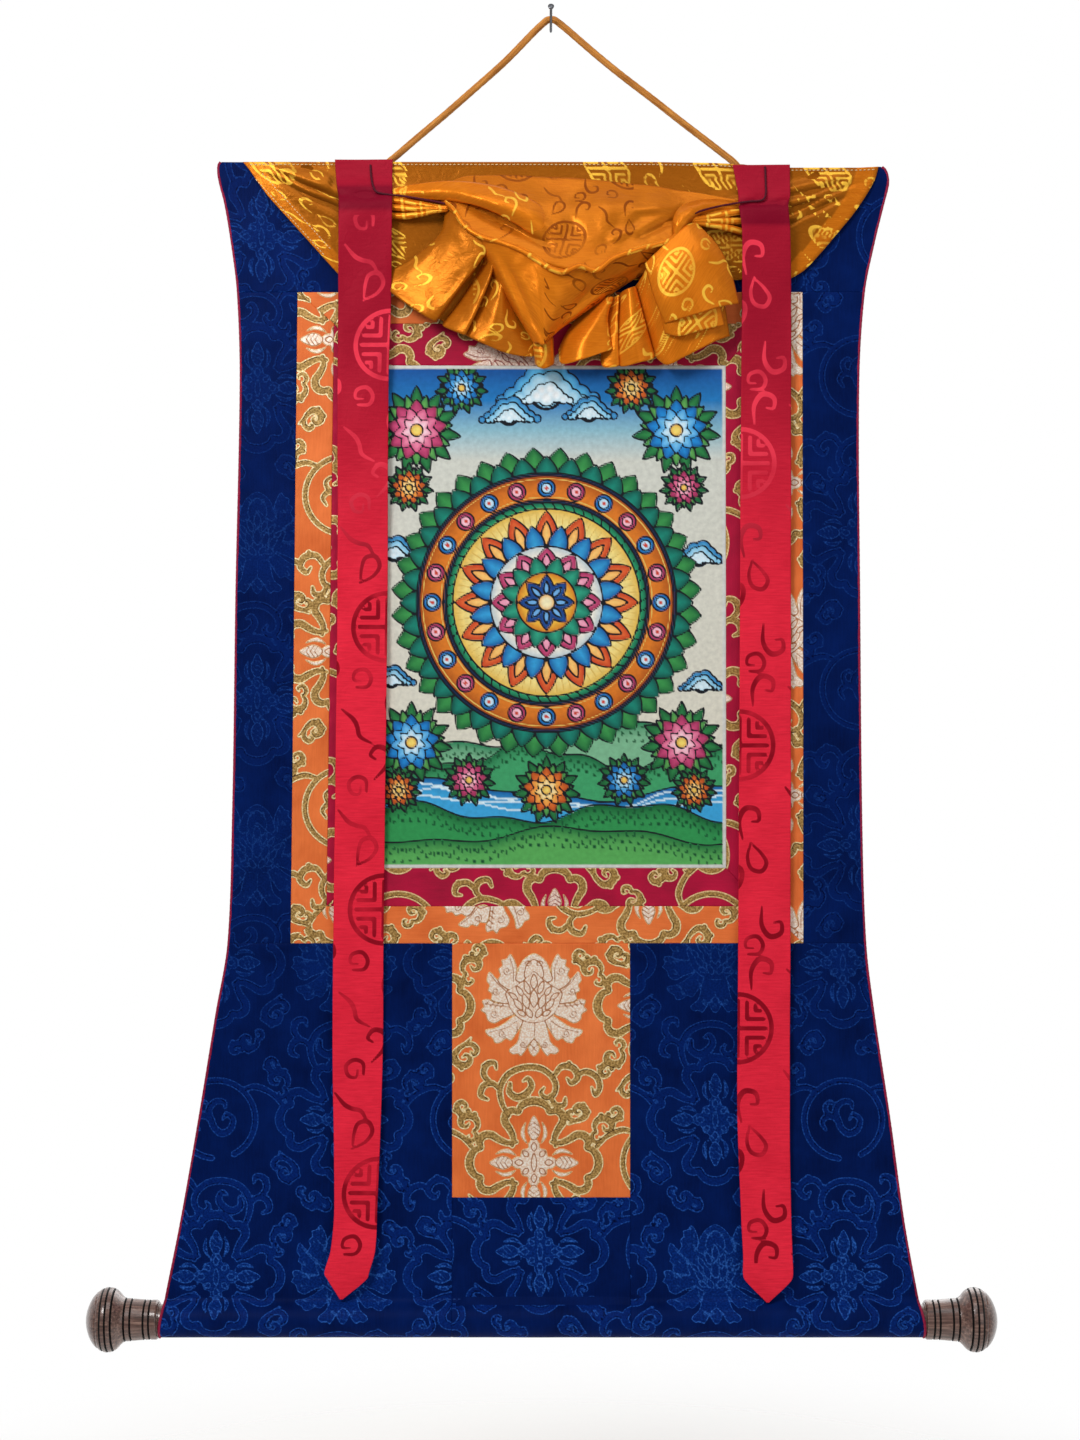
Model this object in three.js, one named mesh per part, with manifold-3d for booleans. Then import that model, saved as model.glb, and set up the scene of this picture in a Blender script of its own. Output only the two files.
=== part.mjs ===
// Thangka scroll painting hanging from a wall nail.
// Millimetres. The nail's end at the wall is the origin, the wall is the plane y = 0,
// -Y points at the viewer, +X to the viewer's right and +Z up. Heights in the tables are
// measured from a level that lies HANGING_LEVEL above the origin.
import * as THREE from 'three';
import { mergeVertices } from 'three/addons/utils/BufferGeometryUtils.js';
import Module from 'manifold-3d';

const wasm = await Module();
wasm.setup();

const HANGING_LEVEL = 8.5;

// Cloth thicknesses and the gap left between neighbouring pieces
const BROCADE = 1.6;
const SILK = 1.2;
const GAP = 0.3;
const DRAPE_CLEARANCE = 2;

// Heights of the edges and seams, from the top down
const TOP_EDGE = -121;
const HEADING_SEAM = -221;
const FOOT_SEAM = -742.4;
const DOOR_FOOT = -944.8;
const SLEEVE_SEAM = -1025.6;

// Top sleeve with its flat batten
const BATTEN = { thickness: 4, height: 15.8, left: -250, right: 255, foot: -139 };
const HEADING_MIDDLE_Y = -14.4;
const TOP_SLEEVE_BACK = -7.5;
const TOP_SLEEVE_FOOT = -141.5;

// Roller in the foot sleeve, with a turned knob at each end
const ROLLER = { radius: 12, y: -26, z: -1042, left: -313.5, right: 298.5, in_knob: 12 };
const FOOT_SLEEVE_RADIUS = 13.8;

// Seam lines that cross the foot
const DOOR_LEFT = -78.9;
const DOOR_RIGHT = 63.2;
const PIPING_WIDTH = 2.4;

// Outline of the whole mounting, a row for each height
const OUTLINE = [
  { z: -121, left: -255.5, right: 266.5 },
  { z: -124, left: -261, right: 269 },
  { z: -130, left: -262.8, right: 268.9 },
  { z: -182, left: -256.5, right: 257.6 },
  { z: -221, left: -252, right: 250.6 },
  { z: -292, left: -249.6, right: 247.2 },
  { z: -468, left: -252.8, right: 247.6 },
  { z: -640, left: -255.2, right: 248.8 },
  { z: -742, left: -258.6, right: 252 },
  { z: -798, left: -268, right: 258.5 },
  { z: -886, left: -282.4, right: 271.5 },
  { z: -964, left: -296, right: 282 },
  { z: -1022, left: -307.5, right: 292.5 },
  { z: -1044, left: -311.5, right: 297.2 },
  { z: -1058, left: -312.6, right: 297.8 },
];

// Corners of the nested frames round the picture
const OUTER_FRAME = { top: -221, bottom: -742.4, topLeft: -203.2, bottomLeft: -208, right: 201.6 };
const MIDDLE_FRAME = { top: -246.4, bottom: -712.8, topLeft: -173.9, bottomLeft: -179.2, right: 169.6 };
const INNER_FRAME = { top: -280, bottom: -682.4, topLeft: -144.5, bottomLeft: -149.5, right: 140 };

// Streamers: a row for each height, with both edges and the middle's y
const RIBBON_LEFT = [
  { z: -117.8, left: -173, right: -126.6, y: -17.8 },
  { z: -130, left: -172, right: -126.8, y: -19.6 },
  { z: -140, left: -170.6, right: -126.4, y: -24.8 },
  { z: -146, left: -169.6, right: -126.4, y: -25.2 },
  { z: -152, left: -169.2, right: -126.4, y: -29.4 },
  { z: -170, left: -169.2, right: -126.6, y: -30 },
  { z: -228, left: -169.6, right: -127.4, y: -26.8 },
  { z: -292, left: -170.4, right: -129.6, y: -24 },
  { z: -468, left: -170.4, right: -130.4, y: -25.4 },
  { z: -740, left: -173.4, right: -133.4, y: -28.4 },
  { z: -838, left: -173.8, right: -134, y: -30 },
  { z: -950, left: -172.2, right: -138, y: -33 },
  { z: -985, left: -175, right: -139.6, y: -34.5 },
  { z: -1003, left: -180, right: -144.6, y: -34 },
  { z: -1008, left: -177.6, right: -146.4, y: -33.6 },
  { z: -1024.6, left: -167.6, right: -165.8, y: -31.6 },
];
const RIBBON_RIGHT = [
  { z: -119.6, left: 145.3, right: 191.2, y: -17.8 },
  { z: -134, left: 148, right: 191, y: -20.4 },
  { z: -146, left: 149.6, right: 190.6, y: -24.8 },
  { z: -152, left: 149.4, right: 189.4, y: -25.2 },
  { z: -158, left: 150, right: 189, y: -29.4 },
  { z: -176, left: 152, right: 190.4, y: -30 },
  { z: -234, left: 152, right: 191.4, y: -26.8 },
  { z: -298, left: 151.6, right: 191.6, y: -24 },
  { z: -548, left: 150.2, right: 191.2, y: -26.2 },
  { z: -740, left: 149, right: 190.6, y: -28.4 },
  { z: -876, left: 148.2, right: 189.8, y: -30.6 },
  { z: -960, left: 151, right: 190.8, y: -33 },
  { z: -990, left: 152.4, right: 191.6, y: -34.5 },
  { z: -1005, left: 152.4, right: 192, y: -34 },
  { z: -1010, left: 155, right: 190, y: -33.6 },
  { z: -1027, left: 171.4, right: 173, y: -31.8 },
];

// Veil. Right wing's free edge, a row for each height
const WING_RIGHT = [
  { z: -122.2, right: 262.6 },
  { z: -132.8, right: 259.2 },
  { z: -157.6, right: 243.2 },
  { z: -175.2, right: 228.8 },
  { z: -191.2, right: 215.2 },
  { z: -204.8, right: 202 },
  { z: -212, right: 190 },
];
const VEIL_TOP = -122.2;
const WING_LEFT_CORNER = -247;
const WING_LEFT_FOOT = -166;
const WING_FOOT = -212;
const TIE_LEFT = { x: -83.2, z: -153.5, y: -29 };
const TIE_RIGHT = { x: 112, z: -161, y: -29 };

// Gathers that run from the top corners to the ties, each a ridge with its start, end and height
const GATHERS = [
  { fromX: -246, fromZ: -124, toX: -88, toZ: -147, height: 4.2, width: 3.4 },
  { fromX: -243, fromZ: -127, toX: -88, toZ: -155, height: 4.8, width: 3.2 },
  { fromX: -236, fromZ: -134, toX: -88, toZ: -161, height: 3.6, width: 2.8 },
  { fromX: 256, fromZ: -126, toX: 116, toZ: -156, height: 4.4, width: 3.6 },
  { fromX: 246, fromZ: -140, toX: 116, toZ: -163, height: 4.6, width: 3.2 },
  { fromX: 226, fromZ: -160, toX: 116, toZ: -169, height: 3.4, width: 3.2 },
];

// Pouch of the veil between the ties: a row for each section, with the height and the forward
// reach of its top fold, its main ridge and its lower end
const POUCH = [
  { x: -88, top: -145.6, ridge: -150.6, foot: -157, topReach: 9, ridgeReach: 13, footReach: 9 },
  { x: -72, top: -138, ridge: -162, foot: -168, topReach: 9, ridgeReach: 19, footReach: 15 },
  { x: -56, top: -134.4, ridge: -171, foot: -181, topReach: 8.5, ridgeReach: 24, footReach: 21 },
  { x: -40.8, top: -132.4, ridge: -178.4, foot: -208, topReach: 8, ridgeReach: 28, footReach: 25 },
  { x: -24.8, top: -132, ridge: -184.8, foot: -237.6, topReach: 8, ridgeReach: 31, footReach: 25 },
  { x: -13.6, top: -132.2, ridge: -189.6, foot: -273, topReach: 8, ridgeReach: 33, footReach: 21 },
  { x: -6.4, top: -132.6, ridge: -193.6, foot: -277, topReach: 8, ridgeReach: 34, footReach: 25 },
  { x: 1.6, top: -132.8, ridge: -197.6, foot: -273, topReach: 8, ridgeReach: 35, footReach: 21 },
  { x: 10, top: -132.8, ridge: -200.6, foot: -254, topReach: 8, ridgeReach: 35, footReach: 25 },
  { x: 22.4, top: -132.8, ridge: -203.6, foot: -242.4, topReach: 8, ridgeReach: 35, footReach: 27 },
  { x: 44, top: -133.6, ridge: -200.8, foot: -228, topReach: 8, ridgeReach: 32, footReach: 27 },
  { x: 70.4, top: -136.8, ridge: -187.2, foot: -213.6, topReach: 8.5, ridgeReach: 27, footReach: 23 },
  { x: 96.8, top: -142.6, ridge: -177.6, foot: -183, topReach: 9, ridgeReach: 20, footReach: 16 },
  { x: 116, top: -151, ridge: -158.4, foot: -165, topReach: 9, ridgeReach: 13, footReach: 9 },
];

// Pleats that fan out below each tie: a row for each fold's end at the hem, with its forward reach
const FAN_LEFT = [
  { x: -130, z: -222, reach: 6.5 },
  { x: -112, z: -234.5, reach: 13 },
  { x: -93.6, z: -244, reach: 19 },
  { x: -88.8, z: -242.4, reach: 8 },
  { x: -84, z: -247.2, reach: 12 },
  { x: -69, z: -254.4, reach: 20 },
  { x: -64.5, z: -253, reach: 9 },
  { x: -48.8, z: -264, reach: 16 },
  { x: -32, z: -271.2, reach: 13 },
  { x: -12, z: -274, reach: 9 },
  { x: 2, z: -262, reach: 6 },
];
const FAN_RIGHT = [
  { x: -14, z: -256, reach: 5 },
  { x: 3, z: -272, reach: 9 },
  { x: 9.6, z: -279, reach: 13 },
  { x: 29.6, z: -274, reach: 21 },
  { x: 46, z: -269, reach: 17 },
  { x: 51, z: -277.6, reach: 8 },
  { x: 57, z: -280.5, reach: 14 },
  { x: 61, z: -279, reach: 9 },
  { x: 73, z: -279, reach: 18 },
  { x: 87, z: -275.2, reach: 14 },
  { x: 91, z: -278, reach: 8 },
  { x: 95, z: -280, reach: 17 },
  { x: 120, z: -269.6, reach: 19 },
  { x: 146, z: -256, reach: 11 },
];
const STACKED_LEAVES = [
  { leftX: 101.6, leftZ: -256.8, rightX: 143, rightZ: -247.6, reach: 24 },
  { leftX: 94.4, leftZ: -248.8, rightX: 151, rightZ: -228, reach: 29 },
];
const FAN_ROOT = 9;

// Cord routes, a row for each bend
const CORD_DIAMETER = 5.6;
const HANGING_CORD_ROUTE = [
  { x: -131, y: -4, z: -136 },
  { x: -136.8, y: -4, z: -128 },
  { x: -134, y: -4.2, z: -117.5 },
  { x: -120, y: -4.6, z: -105.4 },
  { x: -80, y: -5, z: -71.4 },
  { x: -40, y: -5.4, z: -36.2 },
  { x: -9, y: -5.8, z: -5.4 },
  { x: 0, y: -5.9, z: 0.3 },
  { x: 9.4, y: -5.8, z: -4.7 },
  { x: 40, y: -5.4, z: -31 },
  { x: 82, y: -5, z: -63.8 },
  { x: 134, y: -4.6, z: -104 },
  { x: 149.4, y: -4.2, z: -116.4 },
  { x: 153.6, y: -4, z: -127 },
  { x: 149, y: -4, z: -136 },
];
const TIE_DIAMETER = 1.6;
const TIE_LEFT_ROUTE = [
  { x: -144.4, y: -19.6, z: -120 },
  { x: -143.6, y: -22.4, z: -130 },
  { x: -141.6, y: -26.6, z: -139 },
  { x: -138.6, y: -27.9, z: -143.6 },
  { x: -130, y: -27.6, z: -145.4 },
  { x: -120, y: -27.6, z: -146.4 },
  { x: -104, y: -29.6, z: -149.4 },
  { x: -90, y: -34, z: -152.8 },
  { x: -84, y: -36, z: -154.6 },
];
const TIE_RIGHT_ROUTE = [
  { x: 171.2, y: -19.8, z: -121.6 },
  { x: 171.4, y: -23, z: -136 },
  { x: 171, y: -26.6, z: -145 },
  { x: 168, y: -27.9, z: -150 },
  { x: 158, y: -27.8, z: -151 },
  { x: 146, y: -27.6, z: -152.6 },
  { x: 132, y: -29.6, z: -155.6 },
  { x: 120, y: -34, z: -159.6 },
  { x: 113, y: -36, z: -162.6 },
];

// Nail, driven in at a slant with its head high
const NAIL = { radius: 1.1, headZ: 13.8, headY: -27, headRadius: 2.5, headShare: 0.955 };

// Turned knob, a row for each step from its inner face to its round end
const KNOB = [
  { along: 12.3, radius: 0 },
  { along: 12.3, radius: 12.4 },
  { along: 0, radius: 12.4 },
  { along: 0, radius: 14.2 },
  { along: 1, radius: 15.2 },
  { along: 5.4, radius: 15.1 },
  { along: 6, radius: 14.3 },
  { along: 6.6, radius: 14.9 },
  { along: 10.4, radius: 14.6 },
  { along: 11, radius: 13.8 },
  { along: 11.6, radius: 14.6 },
  { along: 23.6, radius: 15.6 },
  { along: 24.4, radius: 14.9 },
  { along: 25.6, radius: 17.2 },
  { along: 30, radius: 17.8 },
  { along: 31, radius: 16.8 },
  { along: 32, radius: 18 },
  { along: 34, radius: 19 },
  { along: 35.6, radius: 23 },
  { along: 38, radius: 24.8 },
  { along: 43, radius: 24.9 },
  { along: 47, radius: 23.2 },
  { along: 51, radius: 19.8 },
  { along: 54.6, radius: 13.6 },
  { along: 56.6, radius: 7 },
  { along: 57.2, radius: 0 },
];
const KNOB_SIDES = 20;

const MATERIALS = {
  navy: { color: 0x0d2260, roughness: 0.5 },
  crimson: { color: 0x7a1230, roughness: 0.6 },
  orange: { color: 0xd9743a, roughness: 0.55 },
  red: { color: 0xa01c34, roughness: 0.55 },
  picture: { color: 0x4f9a8c, roughness: 0.85 },
  gold: { color: 0xd88a1c, roughness: 0.35 },
  ribbon: { color: 0xc3203a, roughness: 0.4 },
  cord: { color: 0xc98436, roughness: 0.7 },
  thread: { color: 0x4a0c1c, roughness: 0.7 },
  wood: { color: 0x5a4036, roughness: 0.4 },
  pale_wood: { color: 0xb08d62, roughness: 0.7 },
  steel: { color: 0x77797c, roughness: 0.35, metalness: 1 },
};

const scroll = new THREE.Group();
const hanging = new THREE.Group();

function add(name, finish, geometry, group = hanging) {
  geometry.computeVertexNormals();
  const mesh = new THREE.Mesh(geometry, new THREE.MeshStandardMaterial(MATERIALS[finish]));
  mesh.name = name;
  group.add(mesh);
}

// Height of a smooth curve through the table's rows, at a value of the key column
function through(rows, key, column, at) {
  const last = rows.length - 1;
  const rising = rows[last][key] > rows[0][key];
  const passed = (row) => (rising ? at > row[key] : at < row[key]);
  let i = 0;
  while (i < last - 1 && passed(rows[i + 1])) i += 1;
  const slope = (j) => {
    const before = rows[Math.max(j - 1, 0)];
    const after = rows[Math.min(j + 1, last)];
    return (after[column] - before[column]) / (after[key] - before[key]);
  };
  const span = rows[i + 1][key] - rows[i][key];
  const t = THREE.MathUtils.clamp((at - rows[i][key]) / span, 0, 1);
  const rest = 1 - t;
  return (
    rows[i][column] * rest * rest * (1 + 2 * t) +
    rows[i + 1][column] * t * t * (3 - 2 * t) +
    span * t * rest * (slope(i) * rest - slope(i + 1) * t)
  );
}

// A plain geometry's points merged and then moved to their places
function shaped(geometry, place) {
  geometry.deleteAttribute('normal');
  geometry.deleteAttribute('uv');
  const welded = mergeVertices(geometry);
  const points = welded.getAttribute('position');
  for (let i = 0; i < points.count; i += 1) {
    const moved = place(points.getX(i), points.getY(i), points.getZ(i));
    points.setXYZ(i, moved.x, moved.y, moved.z);
  }
  return welded;
}

// A sheet of even thickness about a surface, which runs right with s and down with t
function sheet(surface, columns, rows, thickness) {
  const step = 1e-3;
  return shaped(new THREE.BoxGeometry(1, 1, 1, columns, 1, rows), (u, v, w) => {
    const s = u + 0.5;
    const t = 0.5 - w;
    const right = surface(Math.min(s + step, 1), t).sub(surface(Math.max(s - step, 0), t));
    const down = surface(s, Math.min(t + step, 1)).sub(surface(s, Math.max(t - step, 0)));
    const back = right.cross(down).normalize();
    return surface(s, t).addScaledVector(back, v * thickness);
  });
}

// The brocade's middle: upright at the top sleeve, leaning out to the roller, with slight waves
function clothY(x, z) {
  const down = THREE.MathUtils.clamp((z - TOP_SLEEVE_FOOT) / (SLEEVE_SEAM - TOP_SLEEVE_FOOT), 0, 1);
  const loose = Math.sin(Math.PI * down) ** 0.8;
  const wave = 0.9 * Math.sin(x / 52 + 0.8) * down + 0.7 * Math.sin(z / 61 + x / 160);
  return THREE.MathUtils.lerp(HEADING_MIDDLE_Y, ROLLER.y, down) + loose * wave;
}

const outlineLeft = (z) => through(OUTLINE, 'z', 'left', z) + PIPING_WIDTH + GAP;
const outlineRight = (z) => through(OUTLINE, 'z', 'right', z) - PIPING_WIDTH - GAP;

// A flat panel of the mounting between two side lines, short of its neighbours by half the gap
function panel(name, finish, left, right, columns, rows) {
  const surface = (s, t) => {
    const from = left(t);
    const to = right(t);
    const inset = GAP / 2 / (to.x - from.x);
    const across = inset + s * (1 - 2 * inset);
    const x = THREE.MathUtils.lerp(from.x, to.x, across);
    const z = THREE.MathUtils.lerp(from.z, to.z, across);
    return new THREE.Vector3(x, clothY(x, z), z);
  };
  add(name, finish, sheet(surface, columns, rows, BROCADE));
}

// A straight side line from one corner down to the next, short of both by half the gap
function line(fromX, fromZ, toX, toZ) {
  const inset = GAP / 2 / Math.hypot(toX - fromX, toZ - fromZ);
  return (t) => {
    const down = inset + t * (1 - 2 * inset);
    return {
      x: THREE.MathUtils.lerp(fromX, toX, down),
      z: THREE.MathUtils.lerp(fromZ, toZ, down),
    };
  };
}

function sideLine(edge, top, bottom) {
  const height = line(0, top, 0, bottom);
  return (t) => {
    const { z } = height(t);
    return { x: edge(z), z };
  };
}

// The four mitred strips between two nested frames
function frame(name, finish, outside, inside) {
  const rows = 16;
  panel(
    `${name}_top`, finish,
    line(outside.topLeft, outside.top, inside.topLeft, inside.top),
    line(outside.right, outside.top, inside.right, inside.top),
    10, 2,
  );
  panel(
    `${name}_bottom`, finish,
    line(inside.bottomLeft, inside.bottom, outside.bottomLeft, outside.bottom),
    line(inside.right, inside.bottom, outside.right, outside.bottom),
    10, 2,
  );
  panel(
    `${name}_left`, finish,
    line(outside.topLeft, outside.top, outside.bottomLeft, outside.bottom),
    line(inside.topLeft, inside.top, inside.bottomLeft, inside.bottom),
    2, rows,
  );
  panel(
    `${name}_right`, finish,
    line(inside.right, inside.top, inside.right, inside.bottom),
    line(outside.right, outside.top, outside.right, outside.bottom),
    2, rows,
  );
}

// A panel with a sleeve: a flat sheet joined to the sleeve, whose side section in y and z is
// drawn across between the panel's two edges
function sleevedPanel(name, sleeve, left, right, flat, columns) {
  const across = new THREE.ExtrudeGeometry(sleeve, { depth: 1, steps: columns, bevelEnabled: false });
  const place = (s, z, y) => {
    const x = THREE.MathUtils.lerp(left(z) + GAP / 2, right(z) - GAP / 2, s);
    return new THREE.Vector3(x, y + clothY(x, z), z);
  };
  const tube = shaped(across, (y, z, s) => place(s, z, y - clothY(0, z)));
  const surface = (s, t) => place(s, THREE.MathUtils.lerp(flat.top, flat.bottom, t), 0);
  const body = solid(tube).add(solid(sheet(surface, columns, flat.rows, BROCADE)));
  add(name, 'navy', asGeometry(body));
}

// The top sleeve's section: flat in front, boxed out behind round the batten
function headingSleeve() {
  const corner = 2;
  const front = HEADING_MIDDLE_Y - BROCADE / 2;
  const heights = [TOP_EDGE - corner, TOP_EDGE - 5, TOP_EDGE - 9, TOP_EDGE - 14, TOP_SLEEVE_FOOT];
  const section = new THREE.Shape([
    new THREE.Vector2(front + corner, TOP_EDGE),
    ...heights.map((z) => new THREE.Vector2(front, z)),
    new THREE.Vector2(front + BROCADE, TOP_SLEEVE_FOOT - 3),
    ...heights.reverse().map((z) => new THREE.Vector2(TOP_SLEEVE_BACK, z)),
    new THREE.Vector2(TOP_SLEEVE_BACK - corner, TOP_EDGE),
  ]);
  const slackBack = TOP_SLEEVE_BACK - 1.5;
  const slackFront = slackBack - BATTEN.thickness - 2 * GAP;
  const slackFoot = BATTEN.foot - GAP;
  const slackTop = BATTEN.foot + BATTEN.height + GAP;
  section.holes.push(new THREE.Path([
    new THREE.Vector2(slackFront, slackFoot),
    new THREE.Vector2(slackFront, slackTop),
    new THREE.Vector2(slackBack, slackTop),
    new THREE.Vector2(slackBack, slackFoot),
  ]));
  return section;
}

// The foot sleeve's section: a drop shape with its point at the seam, round the roller
function footSleeve() {
  const points = [new THREE.Vector2(ROLLER.y, SLEEVE_SEAM)];
  const arcSteps = 18;
  for (let i = 0; i <= arcSteps; i += 1) {
    const angle = THREE.MathUtils.degToRad(THREE.MathUtils.lerp(126, 414, i / arcSteps));
    points.push(new THREE.Vector2(
      ROLLER.y + FOOT_SLEEVE_RADIUS * Math.cos(angle),
      ROLLER.z + FOOT_SLEEVE_RADIUS * Math.sin(angle),
    ));
  }
  const section = new THREE.Shape(points);
  const slack = new THREE.Path();
  slack.absarc(ROLLER.y, ROLLER.z, ROLLER.radius + GAP + 0.1, 0, 2 * Math.PI, true);
  section.holes.push(new THREE.Path(slack.getPoints(9).slice(1)));
  return section;
}

function ground() {
  const lap = 1;
  const doorLeft = () => DOOR_LEFT;
  const doorRight = () => DOOR_RIGHT;
  const heading = { top: TOP_SLEEVE_FOOT + lap, bottom: HEADING_SEAM + GAP / 2, rows: 5 };
  const side = { top: FOOT_SEAM - GAP / 2, bottom: SLEEVE_SEAM - 2 * lap, rows: 14 };
  const middle = { ...side, top: DOOR_FOOT - GAP / 2, rows: 3 };
  sleevedPanel('ground_top', headingSleeve(), outlineLeft, outlineRight, heading, 12);
  sleevedPanel('foot_left', footSleeve(), outlineLeft, doorLeft, side, 4);
  sleevedPanel('foot_centre', footSleeve(), doorLeft, doorRight, middle, 3);
  sleevedPanel('foot_right', footSleeve(), doorRight, outlineRight, side, 4);
  panel(
    'ground_left', 'navy',
    sideLine(outlineLeft, HEADING_SEAM, FOOT_SEAM),
    line(OUTER_FRAME.topLeft, HEADING_SEAM, OUTER_FRAME.bottomLeft, FOOT_SEAM),
    2, 16,
  );
  panel(
    'ground_right', 'navy',
    line(OUTER_FRAME.right, HEADING_SEAM, OUTER_FRAME.right, FOOT_SEAM),
    sideLine(outlineRight, HEADING_SEAM, FOOT_SEAM),
    2, 16,
  );
}

// A crimson binding down one side, on round the front of the roller sleeve
function piping(name, column, inward) {
  const flatLength = SLEEVE_SEAM - OUTLINE[2].z;
  const arcRadius = ROLLER.radius + GAP + PIPING_WIDTH / 2;
  const arcLength = arcRadius * Math.PI * 0.75;
  const flatShare = 0.9;
  const surface = (s, t) => {
    const point = new THREE.Vector3();
    if (t < flatShare) {
      point.z = OUTLINE[2].z + flatLength * t / flatShare;
    } else {
      const turn = (t - flatShare) / (1 - flatShare) * arcLength / arcRadius;
      const angle = THREE.MathUtils.degToRad(122) + turn;
      point.y = ROLLER.y + arcRadius * Math.cos(angle);
      point.z = ROLLER.z + arcRadius * Math.sin(angle);
    }
    const edge = through(OUTLINE, 'z', column, point.z) + inward * PIPING_WIDTH / 2;
    point.x = edge + (s - 0.5) * PIPING_WIDTH;
    if (t < flatShare) point.y = clothY(edge, point.z);
    return point;
  };
  add(name, 'crimson', sheet(surface, 1, 56, PIPING_WIDTH - GAP));
}

// A streamer of damask with a pointed end
function ribbon(name, rows) {
  const stretches = rows.length - 1;
  const surface = (s, t) => {
    const i = Math.min(Math.floor(t * stretches), stretches - 1);
    const z = THREE.MathUtils.lerp(rows[i].z, rows[i + 1].z, t * stretches - i);
    const x = THREE.MathUtils.lerp(through(rows, 'z', 'left', z), through(rows, 'z', 'right', z), s);
    return new THREE.Vector3(x, through(rows, 'z', 'y', z), z);
  };
  add(name, 'ribbon', sheet(surface, 2, 4 * stretches, SILK));
}

function solid(geometry) {
  return new wasm.Manifold(new wasm.Mesh({
    numProp: 3,
    vertProperties: new Float32Array(geometry.getAttribute('position').array),
    triVerts: new Uint32Array(geometry.index.array),
  }));
}

function asGeometry(body) {
  const mesh = body.getMesh();
  const geometry = new THREE.BufferGeometry();
  geometry.setAttribute('position', new THREE.BufferAttribute(mesh.vertProperties, 3));
  geometry.setIndex(new THREE.BufferAttribute(mesh.triVerts, 1));
  return mergeVertices(geometry);
}

// How far the gathers stand out of the veil's wings at a point
function gatherHeight(x, z) {
  let height = 0;
  for (const ridge of GATHERS) {
    const along = (x - ridge.fromX) / (ridge.toX - ridge.fromX);
    const off = z - THREE.MathUtils.lerp(ridge.fromZ, ridge.toZ, along);
    const swell = THREE.MathUtils.smoothstep(along, 0, 0.5) * (1 - THREE.MathUtils.smoothstep(along, 1, 1.1));
    height = Math.max(height, swell * ridge.height * Math.exp(-((off / ridge.width) ** 2)));
  }
  return height;
}

// Middle of the veil's back layer, which lies on the mounting from the top edge down to its wings
function veilBackY(x, z) {
  const fall = THREE.MathUtils.smoothstep(-z, 124, 150);
  return clothY(x, z) - (BROCADE + SILK) / 2 - GAP - DRAPE_CLEARANCE * fall - gatherHeight(x, z);
}

function veilBack() {
  const surface = (s, t) => {
    const z = THREE.MathUtils.lerp(VEIL_TOP, WING_FOOT, t);
    const left = THREE.MathUtils.lerp(WING_LEFT_CORNER, WING_LEFT_FOOT, t);
    const x = THREE.MathUtils.lerp(left, through(WING_RIGHT, 'z', 'right', z), s);
    return new THREE.Vector3(x, veilBackY(x, z), z);
  };
  return sheet(surface, 26, 10, SILK);
}

// The pouch: from behind the top fold over it, out to the ridge, and in again to the lower end
function veilPouch() {
  const surface = (s, t) => {
    const x = THREE.MathUtils.lerp(POUCH[0].x, POUCH[POUCH.length - 1].x, s);
    const [top, ridge, foot, topReach, ridgeReach, footReach] = [
      'top', 'ridge', 'foot', 'topReach', 'ridgeReach', 'footReach',
    ].map((column) => through(POUCH, 'x', column, x));
    const backShare = 0.14;
    const ridgeShare = 0.62;
    let z;
    let reach;
    if (t < backShare) {
      const turn = t / backShare;
      z = top - 7 * (1 - turn) ** 1.5;
      reach = 1.6 + (topReach - 1.6) * Math.sin(turn * Math.PI / 2);
    } else if (t < ridgeShare) {
      const down = (t - backShare) / (ridgeShare - backShare);
      z = THREE.MathUtils.lerp(top, ridge, down);
      reach = THREE.MathUtils.lerp(topReach, ridgeReach, down ** 1.3);
    } else {
      const down = (t - ridgeShare) / (1 - ridgeShare);
      z = THREE.MathUtils.lerp(ridge, foot, down);
      reach = THREE.MathUtils.lerp(ridgeReach, footReach, Math.sin(down * Math.PI / 2));
    }
    return new THREE.Vector3(x, clothY(x, z) - BROCADE / 2 - reach, z);
  };
  return sheet(surface, 18, 12, SILK);
}

// Pleats spread from the tie to their folds at the hem
function veilFan(tie, folds) {
  const surface = (s, t) => {
    const at = s * (folds.length - 1);
    const i = THREE.MathUtils.clamp(Math.floor(at), 0, folds.length - 2);
    const share = at - i;
    const hem = {
      x: THREE.MathUtils.lerp(folds[i].x, folds[i + 1].x, share),
      z: THREE.MathUtils.lerp(folds[i].z, folds[i + 1].z, share),
      reach: THREE.MathUtils.lerp(folds[i].reach, folds[i + 1].reach, share),
    };
    const x = THREE.MathUtils.lerp(tie.x + (s - 0.5) * FAN_ROOT, hem.x, t);
    const z = THREE.MathUtils.lerp(tie.z, hem.z, t);
    const hemY = clothY(hem.x, hem.z) - BROCADE / 2 - hem.reach;
    const y = THREE.MathUtils.lerp(tie.y + 5 + 2 * Math.sin(Math.PI * s), hemY, t ** 0.8);
    return new THREE.Vector3(x, y, z);
  };
  return sheet(surface, folds.length - 1, 5, SILK);
}

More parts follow.
